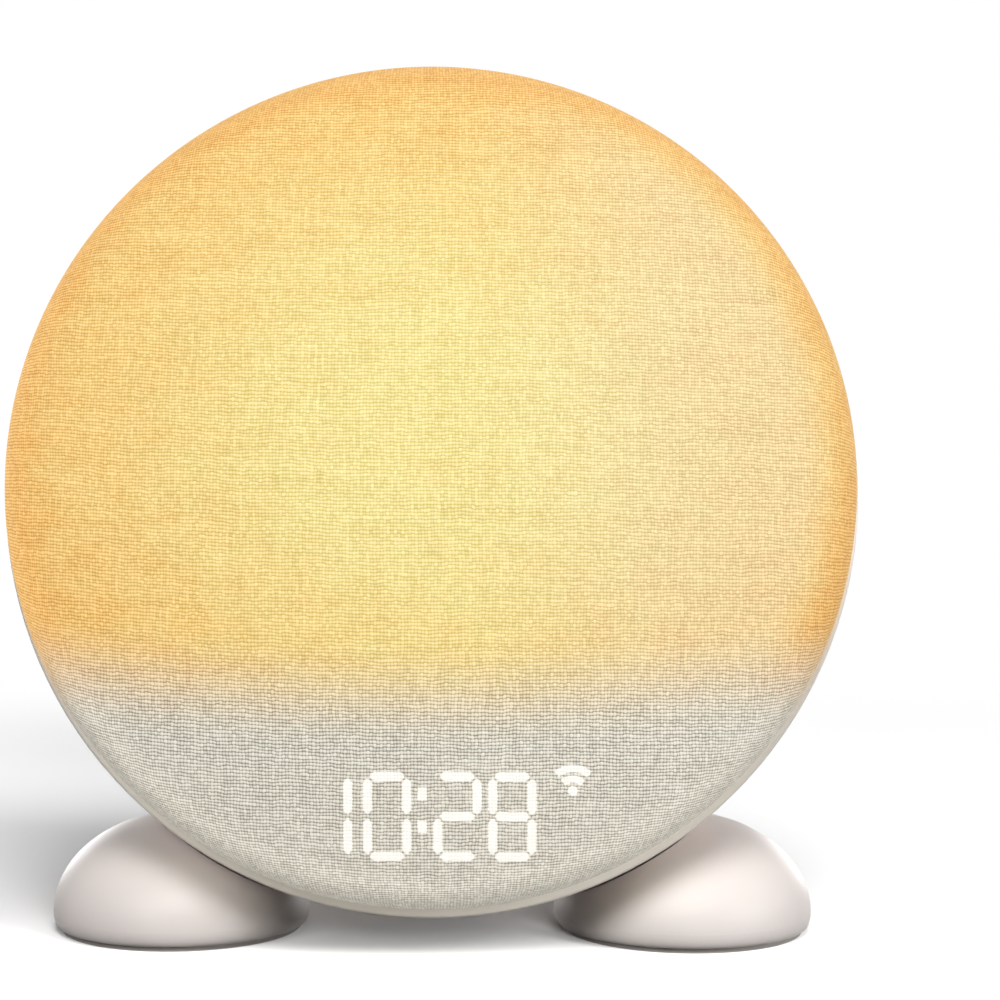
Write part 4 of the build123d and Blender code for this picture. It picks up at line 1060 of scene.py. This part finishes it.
class CLOCK_OT_stage(bpy.types.Operator):
    """Set up the floor, the light and the camera"""

    bl_idname = "clock.stage"
    bl_label = "Stage"

    def execute(self, context):
        scene, stage = context.scene, context.scene.clock_stage
        scene.view_settings.view_transform = "Standard"
        mesh = bpy.data.meshes.new("floor")
        half = 6.0  # metres
        square = [(-half, -half, 0), (half, -half, 0), (half, half, 0), (-half, half, 0)]
        mesh.from_pydata(square, [], [(0, 1, 2, 3)])
        floor = bpy.data.objects.new("floor", mesh)
        floor.data.materials.append(floor_material(stage.floor, stage.bounce))
        scene.collection.objects.link(floor)

        world = bpy.data.worlds.new("studio")
        world.use_nodes = True
        scene.world = world
        tree = Tree(world.node_tree)
        dim = tree.add("ShaderNodeBackground", None, {"Color": WHITE, "Strength": stage.sky})
        white = tree.add("ShaderNodeBackground", None, {"Color": WHITE, "Strength": 1.0})
        both = tree.add("ShaderNodeMixShader", None, {0: shown_rays(tree), 1: dim, 2: white})
        tree.add("ShaderNodeOutputWorld", None, {"Surface": both})

        clock = [piece for piece in scene.objects if piece.type == "MESH" and piece != floor]
        only_floor = only("only_floor", [floor])
        disc = [bpy.data.objects["woven_cover"], frame["nodes"]["trim_ring"]]
        only_disc = only("only_disc", disc)
        only_clock = only("only_clock", clock)
        lamp("key_lamp", (0.05, -0.88, 0.9), 0.4, stage.key, None)
        lamp("fill_lamp", (-0.55, -0.95, 0.65), 0.4, stage.fill, None)
        lamp("side_lamp", (1.0, -0.45, 0.35), 0.5, stage.side, None)
        lamp("front_lamp", (0.1, -1.2, 0.05), 0.6, stage.front, only_disc)
        lamp("left_rear_lamp", (-0.5, 1.15, 0.1), 0.3, stage.rear, only_clock)
        lamp("right_rear_lamp", (0.55, 1.15, 0.06), 0.3, stage.rear, only_clock)
        sun("floor_side", 45, 33, 20, stage.floor_side, only_floor)
        sun("floor_front", 14, 13, 22, stage.floor_front, only_floor)
        sun("floor_top", 0, 62, 40, stage.floor_top, only_floor)

        camera = bpy.data.objects.new("camera", bpy.data.cameras.new("camera"))
        camera.data.lens = stage.lens
        camera.data.shift_x = stage.shift_across
        camera.data.shift_y = stage.shift_down
        back = Vector((sin(stage.camera_turn), -cos(stage.camera_turn), 0)) * stage.camera_distance
        camera.location = (CENTRE.x + back.x, CENTRE.y + back.y, stage.camera_height)
        camera.rotation_euler = (pi / 2, 0, stage.camera_turn)
        scene.collection.objects.link(camera)
        scene.camera = camera
        return {"FINISHED"}


# ==== panel, registration and run ==============================================================

OPERATORS = (CLOCK_OT_finishes, CLOCK_OT_cover, CLOCK_OT_marks, CLOCK_OT_stage)


class CLOCK_PT_panel(bpy.types.Panel):
    """Lists the clock's build steps and sizes"""

    bl_idname = "CLOCK_PT_panel"
    bl_label = "Sunrise Clock"
    bl_space_type = "VIEW_3D"
    bl_region_type = "UI"
    bl_category = "Clock"

    def draw(self, context):
        for step in OPERATORS:
            self.layout.operator(step.bl_idname)
        for name, group in GROUPS.items():
            box = self.layout.box()
            box.label(text=group.__doc__)
            for prop in group.__annotations__:
                box.prop(getattr(context.scene, name), prop)


def register():
    for kind in (*GROUPS.values(), *OPERATORS, CLOCK_PT_panel):
        bpy.utils.register_class(kind)
    for name, group in GROUPS.items():
        setattr(bpy.types.Scene, name, PointerProperty(type=group))


def unregister():
    for name in GROUPS:
        delattr(bpy.types.Scene, name)
    for kind in (CLOCK_PT_panel, *reversed(OPERATORS), *reversed(GROUPS.values())):
        bpy.utils.unregister_class(kind)


def main():
    register()
    bpy.ops.clock.finishes()
    bpy.ops.clock.cover()
    bpy.ops.clock.marks()
    bpy.ops.clock.stage()


if __name__ == "__main__":
    main()
